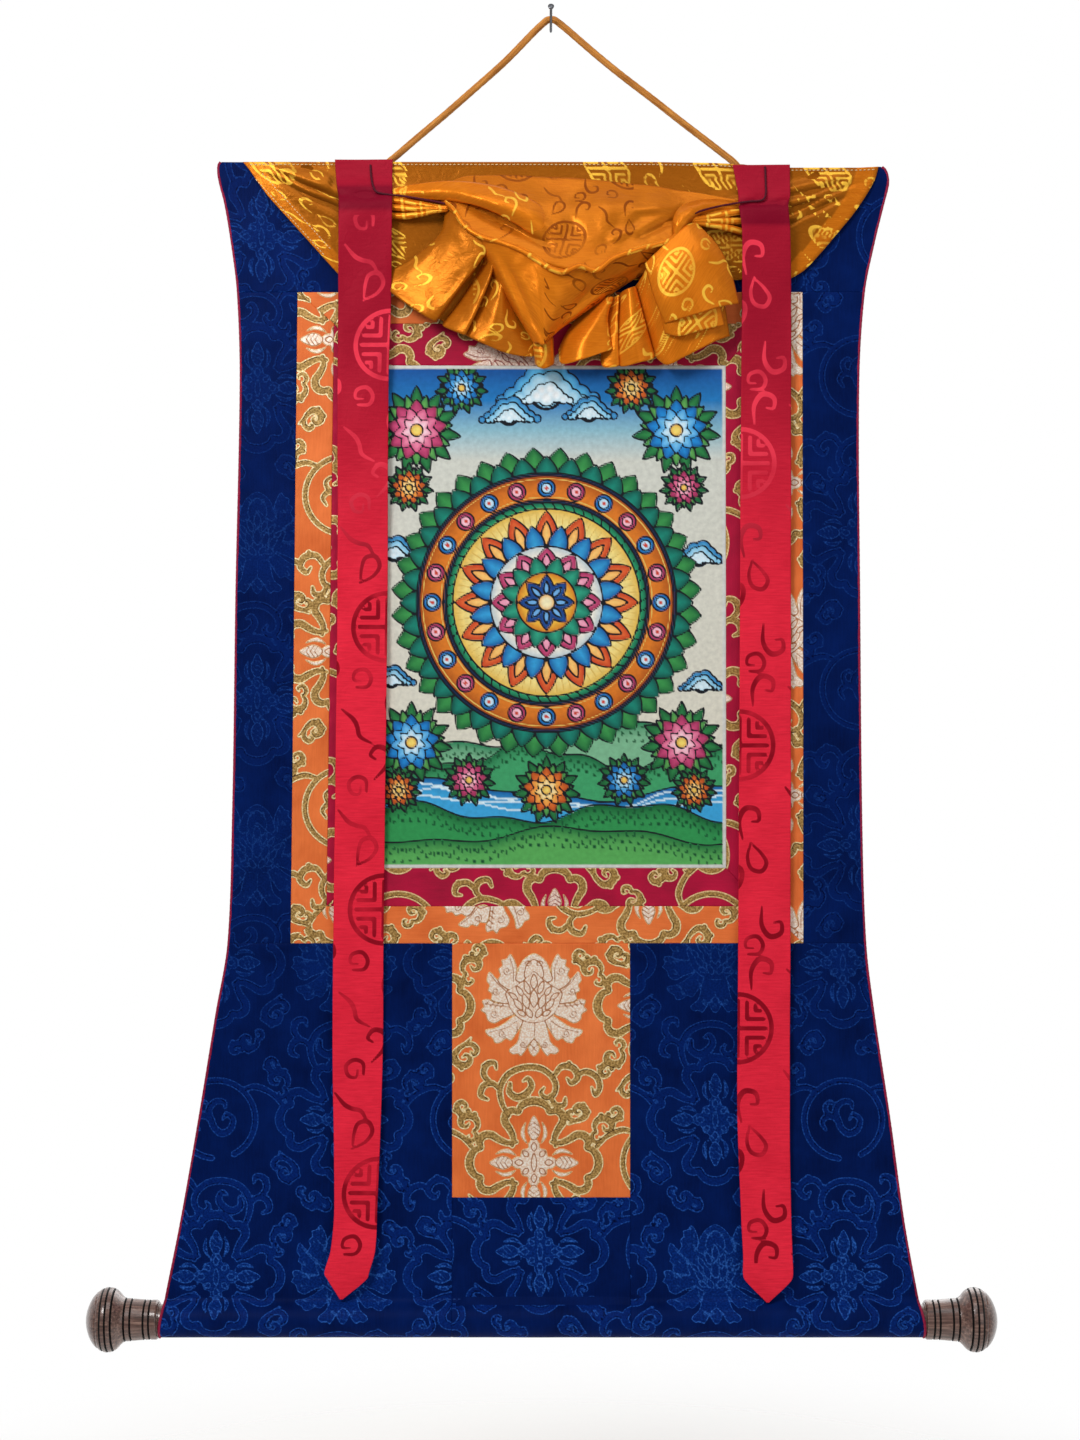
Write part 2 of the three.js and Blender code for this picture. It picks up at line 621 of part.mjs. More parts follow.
// A leaf of cloth that lies in front of the right fan, from the tie to its own stretch of hem
function veilLeaf(leaf) {
  const surface = (s, t) => {
    const hemX = THREE.MathUtils.lerp(leaf.leftX, leaf.rightX, s);
    const hemZ = THREE.MathUtils.lerp(leaf.leftZ, leaf.rightZ, s);
    const x = THREE.MathUtils.lerp(TIE_RIGHT.x - 4 + 8 * s, hemX, t);
    const z = THREE.MathUtils.lerp(TIE_RIGHT.z, hemZ, t);
    const hemY = clothY(hemX, hemZ) - BROCADE / 2 - leaf.reach + 6 * s;
    return new THREE.Vector3(x, THREE.MathUtils.lerp(TIE_RIGHT.y + 2, hemY, t ** 0.8), z);
  };
  return sheet(surface, 3, 5, SILK);
}

function knot(tie) {
  const bunch = new THREE.SphereGeometry(1, 10, 6);
  return shaped(bunch, (x, y, z) => new THREE.Vector3(tie.x + 8 * x, tie.y + 5 * y + 2, tie.z + 6.4 * z));
}

function veil() {
  const pieces = [
    veilPouch(),
    veilFan(TIE_LEFT, FAN_LEFT),
    veilFan(TIE_RIGHT, FAN_RIGHT),
    ...STACKED_LEAVES.map(veilLeaf),
    knot(TIE_LEFT),
    knot(TIE_RIGHT),
  ];
  let body = solid(veilBack());
  for (const piece of pieces) body = body.add(solid(piece));
  add('veil', 'gold', asGeometry(body));
}

// A round cord along its route
function cord(name, finish, route, diameter, sides, steps) {
  const path = new THREE.CatmullRomCurve3(
    route.map((bend) => new THREE.Vector3(bend.x, bend.y, bend.z)),
    false,
    'centripetal',
  );
  const ring = [];
  for (let i = 0; i < sides; i += 1) {
    const angle = 2 * Math.PI * i / sides;
    ring.push(new THREE.Vector2(diameter / 2 * Math.cos(angle), diameter / 2 * Math.sin(angle)));
  }
  const tube = new THREE.ExtrudeGeometry(new THREE.Shape(ring), { steps, extrudePath: path });
  add(name, finish, shaped(tube, (x, y, z) => new THREE.Vector3(x, y, z)));
}

function batten() {
  const { thickness, height, left, right, foot } = BATTEN;
  const y = TOP_SLEEVE_BACK - 1.5 - GAP - thickness / 2;
  add('top_batten', 'pale_wood', shaped(
    new THREE.BoxGeometry(right - left, thickness, height),
    (u, v, w) => new THREE.Vector3(u + (left + right) / 2, v + y, w + foot + height / 2),
  ));
}

function roller() {
  const length = ROLLER.right - ROLLER.left + 2 * (ROLLER.in_knob - GAP);
  const dowel = new THREE.CylinderGeometry(ROLLER.radius, ROLLER.radius, length, KNOB_SIDES);
  dowel.rotateZ(-Math.PI / 2);
  const middle = (ROLLER.left + ROLLER.right) / 2;
  add('roller', 'pale_wood', shaped(dowel, (x, y, z) => (
    new THREE.Vector3(x + middle, y + ROLLER.y, z + ROLLER.z)
  )));
}

function knob(name, face, outward) {
  const profile = KNOB.map((step) => new THREE.Vector2(step.radius, step.along));
  const turned = new THREE.LatheGeometry(profile, KNOB_SIDES);
  turned.rotateZ(-outward * Math.PI / 2);
  add(name, 'wood', shaped(turned, (x, y, z) => (
    new THREE.Vector3(x + face, y + ROLLER.y, z + ROLLER.z)
  )));
}

// The nail's shank slants up to its head and is cut off flat at the wall
function nail() {
  const sides = 12;
  const profile = [
    new THREE.Vector2(0, 0),
    new THREE.Vector2(NAIL.radius, 0),
    new THREE.Vector2(NAIL.radius, NAIL.headShare),
    new THREE.Vector2(NAIL.headRadius, NAIL.headShare),
    new THREE.Vector2(NAIL.headRadius, 1),
    new THREE.Vector2(0, 1),
  ];
  const slant = Math.atan2(NAIL.headZ, -NAIL.headY);
  const turned = new THREE.LatheGeometry(profile, sides);
  add('nail', 'steel', shaped(turned, (x, along, across) => {
    const lean = slant * along;
    return new THREE.Vector3(
      x,
      NAIL.headY * along - across * Math.sin(lean),
      NAIL.headZ * along - across * Math.cos(lean),
    );
  }), scroll);
}

ground();
piping('piping_left', 'left', 1);
piping('piping_right', 'right', -1);
frame('border_orange', 'orange', OUTER_FRAME, MIDDLE_FRAME);
frame('border_red', 'red', MIDDLE_FRAME, INNER_FRAME);
panel(
  'picture_canvas', 'picture',
  line(INNER_FRAME.topLeft, INNER_FRAME.top, INNER_FRAME.bottomLeft, INNER_FRAME.bottom),
  line(INNER_FRAME.right, INNER_FRAME.top, INNER_FRAME.right, INNER_FRAME.bottom),
  8, 10,
);
panel(
  'door_panel', 'orange',
  line(DOOR_LEFT, FOOT_SEAM, DOOR_LEFT, DOOR_FOOT),
  line(DOOR_RIGHT, FOOT_SEAM, DOOR_RIGHT, DOOR_FOOT),
  4, 6,
);
veil();
ribbon('ribbon_left', RIBBON_LEFT);
ribbon('ribbon_right', RIBBON_RIGHT);
cord('hanging_cord', 'cord', HANGING_CORD_ROUTE, CORD_DIAMETER, 10, 44);
cord('tie_left', 'thread', TIE_LEFT_ROUTE, TIE_DIAMETER, 8, 20);
cord('tie_right', 'thread', TIE_RIGHT_ROUTE, TIE_DIAMETER, 8, 20);
batten();
roller();
knob('knob_left', ROLLER.left, -1);
knob('knob_right', ROLLER.right, 1);
hanging.position.z = HANGING_LEVEL;
scroll.add(hanging);
nail();

export default scroll;
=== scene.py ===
import math

import bmesh
import bpy
import numpy as np
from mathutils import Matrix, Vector


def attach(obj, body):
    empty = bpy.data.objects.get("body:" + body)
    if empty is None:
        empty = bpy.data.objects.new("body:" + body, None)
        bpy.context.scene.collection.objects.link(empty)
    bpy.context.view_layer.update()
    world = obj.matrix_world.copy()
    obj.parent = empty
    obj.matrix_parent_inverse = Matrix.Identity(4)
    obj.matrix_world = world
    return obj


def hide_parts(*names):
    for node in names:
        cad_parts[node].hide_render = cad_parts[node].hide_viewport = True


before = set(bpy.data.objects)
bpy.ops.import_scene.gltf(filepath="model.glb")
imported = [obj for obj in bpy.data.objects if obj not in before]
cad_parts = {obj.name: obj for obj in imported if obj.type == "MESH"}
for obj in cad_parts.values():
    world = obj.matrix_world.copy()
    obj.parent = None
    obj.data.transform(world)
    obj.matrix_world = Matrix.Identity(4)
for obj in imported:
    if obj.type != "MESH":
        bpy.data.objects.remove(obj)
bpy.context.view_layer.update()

LIFT = 8.5
BROCADE = 1.6
SILK = 1.2
GAP = 0.3
SEAM_LAP = 0.06
SEAM_ALLOWANCE = 0.016
PIPING_TUCK = 1.6
# What a field of distance holds where no figure is near
FAR = 9.0
CAMERA_AT = (-8.8, -1920, -564)
# The depth at which the veil's x and z are as the camera sees them
SEEN_AT = -20


def table(names, rows):
    """Rows of numbers as a dictionary of named columns."""
    return dict(zip(names.split(), np.array(rows, float).T))


OUTLINE = table("z left right", [
    (-121, -265.5, 265.5), (-124, -267.6, 269), (-130, -267.8, 271.2), (-136, -266.4, 271.2),
    (-148, -262.6, 268), (-182, -256.8, 259.6), (-221, -252, 251.8), (-292, -249.6, 247.2),
    (-468, -252.8, 247.6), (-640, -255.2, 248.8), (-742, -258.6, 252), (-798, -268, 258.5),
    (-886, -282.4, 271.5), (-964, -296, 282), (-1022, -307.5, 292.5), (-1044, -311.5, 297.2),
    (-1058, -312.6, 297.8),
])
# The top edge isn't level: it stands this much higher along its length
EDGE_RISE = table("x rise", [
    (-270, 5.4), (79, 5.4), (130, 4.6), (155, 3.4), (168, 0.8), (247, 0.8), (262, 1.6),
])
TOP_SLEEVE_FOOT = -141.5
HEADING_SEAM = -221
FOOT_SEAM = -742.4
DOOR_FOOT = -944.8
SLEEVE_SEAM = -1025.6
DOOR_LEFT = -78.9
DOOR_RIGHT = 63.2
HEADING_MIDDLE_Y = -14.4
ROLLER = {"radius": 12, "y": -26, "z": -1042, "left": -313.5, "right": 298.5, "in_knob": 12}
PIPING_WIDTH = 2.4
OUTER_FRAME = {
    "top": HEADING_SEAM, "bottom": FOOT_SEAM, "top_left": -203.2, "bottom_left": -208, "right": 201.6,
}
MIDDLE_FRAME = {"top": -246.4, "bottom": -712.8, "top_left": -173.9, "bottom_left": -179.2, "right": 169.6}
INNER_FRAME = {"top": -280, "bottom": -682.4, "top_left": -144.5, "bottom_left": -149.5, "right": 140}

RIBBON_LEFT = table("z left right y", [
    (-115.4, -173, -126.6, -17.8), (-130, -172, -126.8, -19.6), (-140, -170.6, -126.4, -24.8),
    (-146, -169.6, -126.4, -25.2), (-152, -169.2, -126.4, -29.4), (-170, -169.2, -126.6, -30),
    (-228, -169.6, -127.4, -26.8), (-292, -170.4, -129.6, -24), (-468, -170.4, -130.4, -25.4),
    (-740, -173.4, -133.4, -28.4), (-838, -173.8, -134, -30), (-950, -172.2, -138, -33),
    (-985, -175, -139.6, -34.5), (-1003, -180, -144.6, -34), (-1008, -177.6, -146.4, -33.6),
    (-1024.6, -167.6, -165.8, -31.6),
])
RIBBON_RIGHT = table("z left right y", [
    (-119.6, 145.3, 191.2, -17.8), (-134, 148, 191, -20.4), (-146, 149.6, 190.6, -24.8),
    (-152, 149.4, 189.4, -25.2), (-158, 150, 189, -29.4), (-176, 152, 190.4, -30),
    (-234, 152, 191.4, -26.8), (-298, 151.6, 191.6, -24), (-548, 150.2, 191.2, -26.2),
    (-740, 149, 190.6, -28.4), (-876, 148.2, 189.8, -30.6), (-960, 151, 190.8, -33),
    (-990, 152.4, 191.6, -34.5), (-1005, 152.4, 192, -34), (-1010, 155, 190, -33.6),
    (-1027, 171.4, 173, -31.8),
])

VEIL_TOP = -122.2
WING_LEFT_CORNER = -247
WING_LEFT_FOOT = -166
WING_FOOT = -212
WING_RIGHT = table("z right", [
    (-122.2, 262.6), (-132.8, 259.2), (-157.6, 243.2), (-175.2, 228.8), (-191.2, 215.2),
    (-204.8, 202), (-212, 190),
])
GATHERS = table("from_x from_z to_x to_z height width", [
    (-246, -124, -88, -147, 4.2, 3.4), (-243, -127, -88, -155, 4.8, 3.2),
    (-236, -134, -88, -161, 3.6, 2.8), (256, -126, 116, -156, 4.4, 3.6),
    (246, -140, 116, -163, 4.6, 3.2), (226, -160, 116, -169, 3.4, 3.2),
])
CREASES = table("from_x from_z to_x to_z height width", [
    (-244, -120, -169, -143, 1.2, 1.6), (-244, -121, -165, -149, -2, 1.4),
    (-241, -122.5, -165, -153, 1.6, 1.4), (-239, -125, -165, -157.5, -2, 1.6),
    (-231, -132, -165, -165.5, 0.9, 3), (255, -127, 188, -153.5, 1.4, 1.5),
    (253.5, -130.5, 188, -158.5, -2, 1.5), (249, -133.5, 188, -163, 1.6, 1.5),
    (245.5, -140, 188, -169, -1.6, 1.6), (236, -148, 188, -173, 1.2, 3), (241, -129, 199, -148, -1.4, 1.6),
])
POUCH_CREASES = table("from_x from_z to_x to_z height width", [
    (-71, -152, -2.5, -185, -3.4, 3.4), (111, -159, 71, -178.5, -2.4, 2.6),
    (106.5, -154.5, 68, -156, 1.6, 3), (100, -157.5, 47, -180, 1.6, 3.2), (7, -145, 39, -185, 1, 5),
    (-25, -151, 7, -177, 1.2, 4), (71, -145, 49, -189.5, 1, 5), (-51, -180, -21.5, -245.5, 2.2, 3),
    (-41, -186.5, -10.5, -252, -2, 3.2), (-13.5, -197.5, -5, -252, 1.6, 4), (39, -209, 4, -252, -1.8, 3.6),
    (71, -197.5, 19, -242.5, 1.6, 3.2), (87, -193, 39, -220, -1.4, 2.6), (-22, -132, -12, -176, 2.4, 9),
    (14, -132, 17, -178, -2.6, 9), (44, -134, 42, -178, 2.2, 8), (70, -136, 66, -172, -1.8, 8),
])

# The veil's folds, a row for each rib, as x, z and reach from the mounting, from the gather
# or the upper edge to the hem or the lower edge
LEFT_FAN = [
    [(-84, -155, 13), (-89, -175, 13), (-109.5, -193.5, 10), (-133.5, -207, 5)],
    [(-81.5, -156, 17), (-86.5, -180, 17), (-105, -201.5, 14), (-131, -218.5, 9)],
    [(-78.5, -158.5, 21), (-79, -185, 21), (-93.5, -212, 18), (-119, -229, 15)],
    [(-71, -164, 25), (-66.5, -188, 25), (-79, -217.5, 21), (-102.5, -240, 19)],
    [(-57.5, -175, 27), (-52, -188, 26), (-73, -217.5, 22), (-93, -245, 18)],
    [(-58.5, -176, 22), (-55, -191, 18), (-75, -220, 13), (-92, -242.5, 10)],
    [(-55, -180, 14), (-53.5, -197.5, 11), (-71, -225, 9), (-86.5, -245.5, 8)],
    [(-53.5, -182.5, 17), (-53, -197.5, 15), (-69.5, -227, 13), (-85.5, -249.5, 12)],
    [(-49.5, -185.5, 24), (-47, -202.5, 23), (-57.5, -230.5, 21), (-69.5, -256, 19)],
    [(-51, -186.5, 17), (-49, -204, 14), (-58.5, -232, 12), (-70.5, -253.5, 10)],
    [(-49, -189.5, 14), (-46.5, -207, 14), (-55, -234.5, 14), (-67, -257, 14)],
    [(-44, -197.5, 19), (-40, -217.5, 20), (-45, -242.5, 20), (-52, -264, 19)],
    [(-41, -205.5, 15), (-34.5, -225.5, 15), (-33, -248, 15), (-36, -270.5, 14)],
    [(-34.5, -220, 10), (-28, -237.5, 10), (-21.5, -255, 10), (-17, -273.5, 10)],
    [(-25, -233, 6), (-18.5, -247, 6), (-10.5, -260, 6), (-4, -269.5, 6)],
]
BEAK = [
    [(-62, -173.5, 20), (-52, -197.5, 15), (-33, -231, 12), (-14.5, -260, 13)],
    [(-57, -175, 29), (-44, -201.5, 25), (-28.5, -233, 23), (-13.5, -262.5, 22)],
    [(-42, -180, 34), (-30.5, -204, 31), (-21, -233.5, 29), (-10.5, -262.5, 27)],
    [(-20, -187, 35), (-15, -209.5, 34), (-12, -236, 32), (-8, -264, 29)],
    [(3, -201, 36), (2, -220, 34), (-1.5, -241.5, 30), (-6, -264, 29)],
    [(28.5, -202.5, 34), (24, -216, 29), (10, -237.5, 25), (-4, -262.5, 26)],
    [(56, -190.5, 30), (50, -205.5, 25), (30, -227, 20), (-2, -260, 21)],
    [(82, -184, 26), (74, -197.5, 20), (48, -218.5, 15), (0, -257, 17)],
    [(95.5, -181, 21), (84.5, -199, 13), (55, -219, 9), (1.5, -255, 12)],
]
TIP_TUBE = [
    [(-14.5, -257, 11), (-13.5, -270, 11), (-12.5, -279.5, 10)],
    [(-12.5, -258, 18), (-11.6, -271, 18), (-10.6, -281.5, 17)],
    [(-6, -259, 20), (-5.6, -272, 21), (-5.2, -283, 20)], [(0, -258, 17), (0.4, -270, 17), (1, -280.5, 16)],
    [(1.5, -257, 10), (2, -269, 10), (2.5, -278.5, 9)],
]
RIGHT_FAN = [
    [(36, -229.5, 5), (18.5, -245.5, 5), (10, -258.5, 6), (6, -268, 7)],
    [(42.5, -227, 9), (26.5, -244, 11), (14, -261.5, 13), (8.4, -279, 13)],
    [(47, -225.5, 16), (37, -242.5, 20), (28, -260, 22), (24, -276, 23)],
    [(49.5, -225.5, 15), (45, -241.5, 17), (46, -257, 18), (48, -268, 18)],
    [(49, -227, 9), (42.5, -241, 8), (41, -255, 8), (41, -271, 8)],
    [(51, -225.5, 11), (48, -242.5, 12), (44, -263, 13), (41.5, -281.5, 13)],
    [(54, -224, 15), (53, -242.5, 16), (53, -261.5, 16), (54, -281, 15)],
    [(53.5, -225.5, 9), (52, -242.5, 7), (51, -261.5, 7), (52, -277.5, 7)],
    [(57.5, -221, 13), (56.5, -241, 15), (56, -261.5, 15), (56.5, -281.5, 14)],
    [(62.5, -218.5, 19), (65, -239, 22), (67, -258.5, 22), (69.5, -278.5, 20)],
    [(67, -217, 14), (72, -236, 15), (77, -255, 15), (82, -275, 14)],
    [(67, -217.5, 8), (71, -234.5, 7), (76, -255, 7), (81, -271, 7)],
    [(71, -212, 13), (77, -234.5, 15), (84, -255, 16), (92, -280, 16)],
    [(80, -197.5, 20), (87, -225, 22), (95, -249, 22), (106, -274, 20)],
    [(95, -180, 22), (104, -207, 23), (112, -237.5, 22), (120, -267, 21)],
    [(108, -170, 20), (119, -197.5, 20), (126, -229.5, 20), (132, -261, 18)],
    [(119, -167, 14), (132, -195, 13), (138, -226, 12), (143, -257, 11)],
]
SECOND_LEAF = [
    [(86, -197.5, 20), (84, -218.5, 25), (87, -237.5, 26), (91, -255, 24)],
    [(94, -185, 23), (96, -212, 29), (99, -236, 29), (103, -257, 28)],
    [(106, -174, 23), (114, -201, 28), (118, -228, 28), (122, -252, 27)],
    [(117, -169, 19), (128, -195, 23), (133.5, -221.5, 24), (139, -248.5, 22)],
]
FRONT_LEAF = [
    [(75, -199, 24), (79, -215, 27), (84, -230.5, 29), (91, -247, 27)],
    [(84, -190, 27), (89, -208, 33), (95, -226, 34), (102, -243.5, 32)],
    [(97, -178, 27), (106, -198, 34), (114, -218, 34), (121, -238, 32)],
    [(108, -168.5, 23), (122, -187, 29), (131, -208, 29), (138.5, -233, 26)],
    [(116, -166, 18), (134, -185, 20), (144, -206, 20), (150.5, -231, 18)],
]
POUCH = [
    [(-89, -140, 6), (-89, -144, 10), (-88, -148, 14), (-86.5, -152, 17)],
    [(-71, -133, 7), (-71, -141, 15), (-72, -152, 20), (-73, -163.5, 24)],
    [(-53, -132, 7), (-53.5, -143, 18), (-54.5, -160, 23), (-57, -176.8, 30)],
    [(-29, -132, 7), (-29.5, -147, 20), (-32, -165, 26), (-35, -183.6, 33)],
    [(-5, -133, 7), (-5.5, -153, 22), (-7, -172, 28), (-9, -197.4, 36)],
    [(17, -133.5, 7), (17, -155, 23), (17, -178, 29), (17, -204, 37)],
    [(39, -135, 7), (39, -153.5, 23), (40, -177, 28), (41, -203, 36)],
    [(61.5, -137, 7), (61.5, -153, 22), (62.5, -171, 26), (63, -190.2, 32.5)],
    [(83, -138.5, 7), (83, -151, 19), (83, -167, 22), (83, -184.4, 28)],
    [(100, -141, 7), (100, -151, 14), (99, -164, 18), (97.5, -179.4, 24)],
    [(119, -143, 7), (117.5, -149.5, 10), (114.5, -157.5, 14), (109.5, -167, 18)],
    [(149, -148, 6), (148, -153, 8), (145.5, -158.5, 10), (141.5, -164, 11)],
]
ROLL_LEAF = [
    [(-132, -141, 8), (-132, -143, 9), (-132, -146.5, 8)],
    [(-111, -137.5, 9), (-110.5, -142.5, 11.5), (-109.5, -147, 9.5)],
    [(-85, -135, 15), (-83, -141.5, 21), (-81.5, -149, 18)],
    [(-62, -135.5, 22), (-62, -144.5, 30), (-62.5, -152, 27)],
    [(-38, -139, 24), (-41, -150.5, 34), (-44.5, -158.5, 30)],
    [(-18, -146.5, 24), (-22, -158, 34), (-26.5, -168.5, 30)],
    [(-5, -156, 23), (-9, -166, 31), (-14, -176, 30)],
    [(3, -168, 20), (1, -173, 24), (-2, -178, 26)],
]
UPPER_ROLL = [
    [(151, -149.5, 8), (151, -153.5, 10.5), (151, -157.5, 8)],
    [(131, -147.5, 9.5), (132, -153, 13), (133, -157.5, 10)],
    [(114.5, -149, 14), (118.5, -155, 19), (121.5, -160, 14)],
    [(103, -154, 20), (109, -161, 25), (114, -165, 18)],
    [(97.5, -164, 23), (102.5, -169, 27), (107.5, -172, 21)],
    [(98, -177.5, 24), (99.5, -178.5, 26), (101, -179.5, 24)],
]

# Thin rolls of gathered cloth, as x, z, reach and radius
ROLLS = [
    [(-85.5, -149, 19, 1), (-77.5, -156.5, 24, 1.3), (-69, -169, 28, 1.5), (-56, -177.5, 32, 1.5),
     (-40, -182, 34, 1.5), (-24, -188.5, 36, 1.5), (-9, -197.5, 37, 1.6), (0, -203, 38, 1.7),
     (10, -206, 38, 1.7), (23, -201, 37.5, 1.6), (36.5, -204.5, 36.5, 1.6), (50, -195, 34.5, 1.6),
     (70, -187.5, 31, 1.5), (84, -184, 28, 1.5), (96.5, -180, 25, 1.5),
     (101.5, -173, 23, 1.3), (108, -166, 20, 1.1), (117, -161, 16.5, 0.9)],
    [(-133.5, -148, 7, 2), (-119, -149, 9, 2.1), (-105, -151.5, 11.4, 1.9), (-92, -153.5, 16, 1.4),
     (-82.5, -154, 20, 0.9)],
    [(-133.5, -153.5, 7, 2.2), (-119, -154.5, 9.4, 2.2), (-105, -155, 11.6, 1.8), (-92, -155, 16, 1.4),
     (-82.5, -155, 20, 0.9)],
    [(-133.5, -160, 6, 2), (-119, -161, 8.4, 2.2), (-105, -159.5, 11, 1.9), (-92, -157, 15.6, 1.5),
     (-82.5, -156, 19, 0.9)],
    [(109.5, -164, 19, 0.9), (121, -162.5, 15.2, 1.6), (133.5, -160.5, 11.4, 2), (145, -158.5, 9.4, 2.1),
     (154.5, -157, 7, 2)],
    [(109.5, -165, 18.6, 0.9), (121, -164.5, 15, 1.7), (133.5, -165, 11.4, 2.1), (145, -165, 9.4, 2.2),
     (154.5, -165, 7, 2.1)],
    [(109.5, -166.5, 18, 0.9), (121, -167, 14.4, 1.7), (133.5, -169, 11, 2.2), (145, -171.5, 9, 2.3),
     (154.5, -174, 6.4, 2.2)],
]

HANGING_CORD_ROUTE = [
    (-0.1310, -0.0040, -0.1275), (-0.1368, -0.0040, -0.1195), (-0.1340, -0.0042, -0.1090),
    (-0.1200, -0.0046, -0.0969), (-0.0800, -0.0050, -0.0629), (-0.0400, -0.0054, -0.0277),
    (-0.0090, -0.0058, 0.0031), (0.0000, -0.0059, 0.0088), (0.0094, -0.0058, 0.0038),
    (0.0400, -0.0054, -0.0225), (0.0820, -0.0050, -0.0553), (0.1340, -0.0046, -0.0955),
    (0.1494, -0.0042, -0.1079), (0.1536, -0.0040, -0.1185), (0.1490, -0.0040, -0.1275),
]
TIE_LEFT_ROUTE = [
    (-0.1444, -0.0196, -0.1115), (-0.1436, -0.0224, -0.1215), (-0.1416, -0.0266, -0.1305),
    (-0.1386, -0.0279, -0.1351), (-0.1300, -0.0276, -0.1369), (-0.1200, -0.0276, -0.1379),
    (-0.1040, -0.0296, -0.1409), (-0.0900, -0.0340, -0.1443), (-0.0840, -0.0360, -0.1461),
]
TIE_RIGHT_ROUTE = [
    (0.1712, -0.0198, -0.1131), (0.1714, -0.0230, -0.1275), (0.1710, -0.0266, -0.1365),
    (0.1680, -0.0279, -0.1415), (0.1580, -0.0278, -0.1425), (0.1460, -0.0276, -0.1441),
    (0.1320, -0.0296, -0.1471), (0.1200, -0.0340, -0.1511), (0.1130, -0.0360, -0.1541),
]

# Half the knob's outline, as distance from the cloth's end of it and radius
KNOB = [
    (-1.2, 13.6), (-0.5, 14.8), (0.6, 15.5), (4.5, 15.5), (5.3, 14.3), (6.1, 15.5), (8.8, 15.6), (9.6, 14.4),
    (10.4, 15.7), (14, 15.9), (19.2, 16.4), (20, 15.2), (20.8, 16.6), (24, 16.8), (24.8, 15.5), (25.6, 17.1),
    (27, 17.7), (29, 19.5), (31, 21.9), (33.2, 23.7), (34, 22.6), (34.8, 24.5), (36.4, 25), (37.6, 25.2),
    (38.4, 24.1), (39.2, 25.3), (40.4, 25.3), (41.8, 25), (42.6, 23.9), (43.4, 24.4), (44.6, 23.9),
    (45.8, 23), (46.6, 21.8), (47.4, 22), (49, 20.6), (50.6, 18.8), (52, 16.8), (53.4, 14.2), (54.6, 11.4),
    (55.6, 8.4), (56.4, 5), (56.9, 2), (57.1, 0.6),
]
# Where the near-black groove lines lie in it
KNOB_GROOVES = (5.3, 9.6, 20, 24.8, 34, 38.4, 42.6)
SOCKET = {"radius": 12.35, "depth": 12.4}
BATTEN = {"thickness": 4, "height": 15.8, "left": -250, "right": 255, "foot": -139}
NAIL = {"radius": 1.1, "head_y": -27, "head_z": 13.8, "head_radius": 2.5}


def metres(points):
    """Table millimetres as metres in the row frame."""
    return (np.asarray(points, float) + (0, 0, LIFT)) / 1000


def raised(points):
    """Points of the hanging cloth, drawn up near the top edge as far as the edge stands higher."""
    lift = np.interp(points[:, 0], EDGE_RISE["x"], EDGE_RISE["rise"]) * ease(points[:, 2], -148, -122)
    return points + lift[:, None] * np.array((0, 0, 1))


def linear(value):
    """An sRGB hex colour as linear light, with alpha."""
    parts = [int(value[i:i + 2], 16) / 255 for i in (1, 3, 5)]
    parts = [p / 12.92 if p <= 0.04045 else ((p + 0.055) / 1.055) ** 2.4 for p in parts]
    return (*parts, 1)


def ease(value, low, high):
    """A smooth step from 0 at low to 1 at high."""
    t = np.clip((np.asarray(value, float) - low) / (high - low), 0, 1)
    return t * t * (3 - 2 * t)


def lerp(a, b, t):
    return a + (b - a) * t


def through(rows, key, column, at):
    """Height of a smooth curve through the table's rows, at values of the key column."""
    keys, values = rows[key], rows[column]
    at = np.asarray(at, float)
    sign = 1 if keys[-1] > keys[0] else -1
    i = np.clip(np.searchsorted(sign * keys, sign * at) - 1, 0, len(keys) - 2)
    after = np.minimum(np.arange(len(keys)) + 1, len(keys) - 1)
    before = np.maximum(np.arange(len(keys)) - 1, 0)
    slopes = (values[after] - values[before]) / (keys[after] - keys[before])
    span = keys[i + 1] - keys[i]
    t = np.clip((at - keys[i]) / span, 0, 1)
    rest = 1 - t
    return (
        values[i] * rest * rest * (1 + 2 * t)
        + values[i + 1] * t * t * (3 - 2 * t)
        + span * t * rest * (slopes[i] * rest - slopes[i + 1] * t)
    )


def cloth_y(x, z):
    """The brocade's middle: upright at the top sleeve and leaning out to the roller."""
    down = np.clip((z - TOP_SLEEVE_FOOT) / (SLEEVE_SEAM - TOP_SLEEVE_FOOT), 0, 1)
    loose = np.maximum(np.sin(np.pi * down), 0) ** 0.8
    wave = 0.9 * np.sin(x / 52 + 0.8) * down + 0.7 * np.sin(z / 61 + x / 160)
    return lerp(HEADING_MIDDLE_Y, ROLLER["y"], down) + loose * wave


def outline_left(z):
    return through(OUTLINE, "z", "left", z) + PIPING_TUCK


def outline_right(z):
    return through(OUTLINE, "z", "right", z) - PIPING_TUCK


def along_spline(points, at, closed=False):
    """Places on a smooth line through points, at counts of points from the first."""
    if closed:
        ends = np.concatenate([points[-1:], points, points[:2]])
    else:
        ends = np.concatenate([2 * points[:1] - points[1:2], points, 2 * points[-1:] - points[-2:-1]])
    i = np.clip(np.floor(at).astype(int), 0, len(ends) - 4)
    t = (at - i).reshape(-1, *[1] * (points.ndim - 1))
    a, b, c, d = [ends[i + k] for k in range(4)]
    return 0.5 * (
        2 * b + (c - a) * t + (2 * a - 5 * b + 4 * c - d) * t ** 2 + (3 * b - a - 3 * c + d) * t ** 3
    )


def spline(points, closed=False, steps=8):
    """A smooth line through points of any number of columns."""
    points = np.asarray(points, float)
    spans = len(points) if closed else len(points) - 1
    return along_spline(points, np.arange(spans * steps + (not closed)) / steps, closed)


def distances(line):
    """How far each point of a line lies along it."""
    return np.concatenate([[0], np.cumsum(np.linalg.norm(np.diff(line, axis=0), axis=1))])


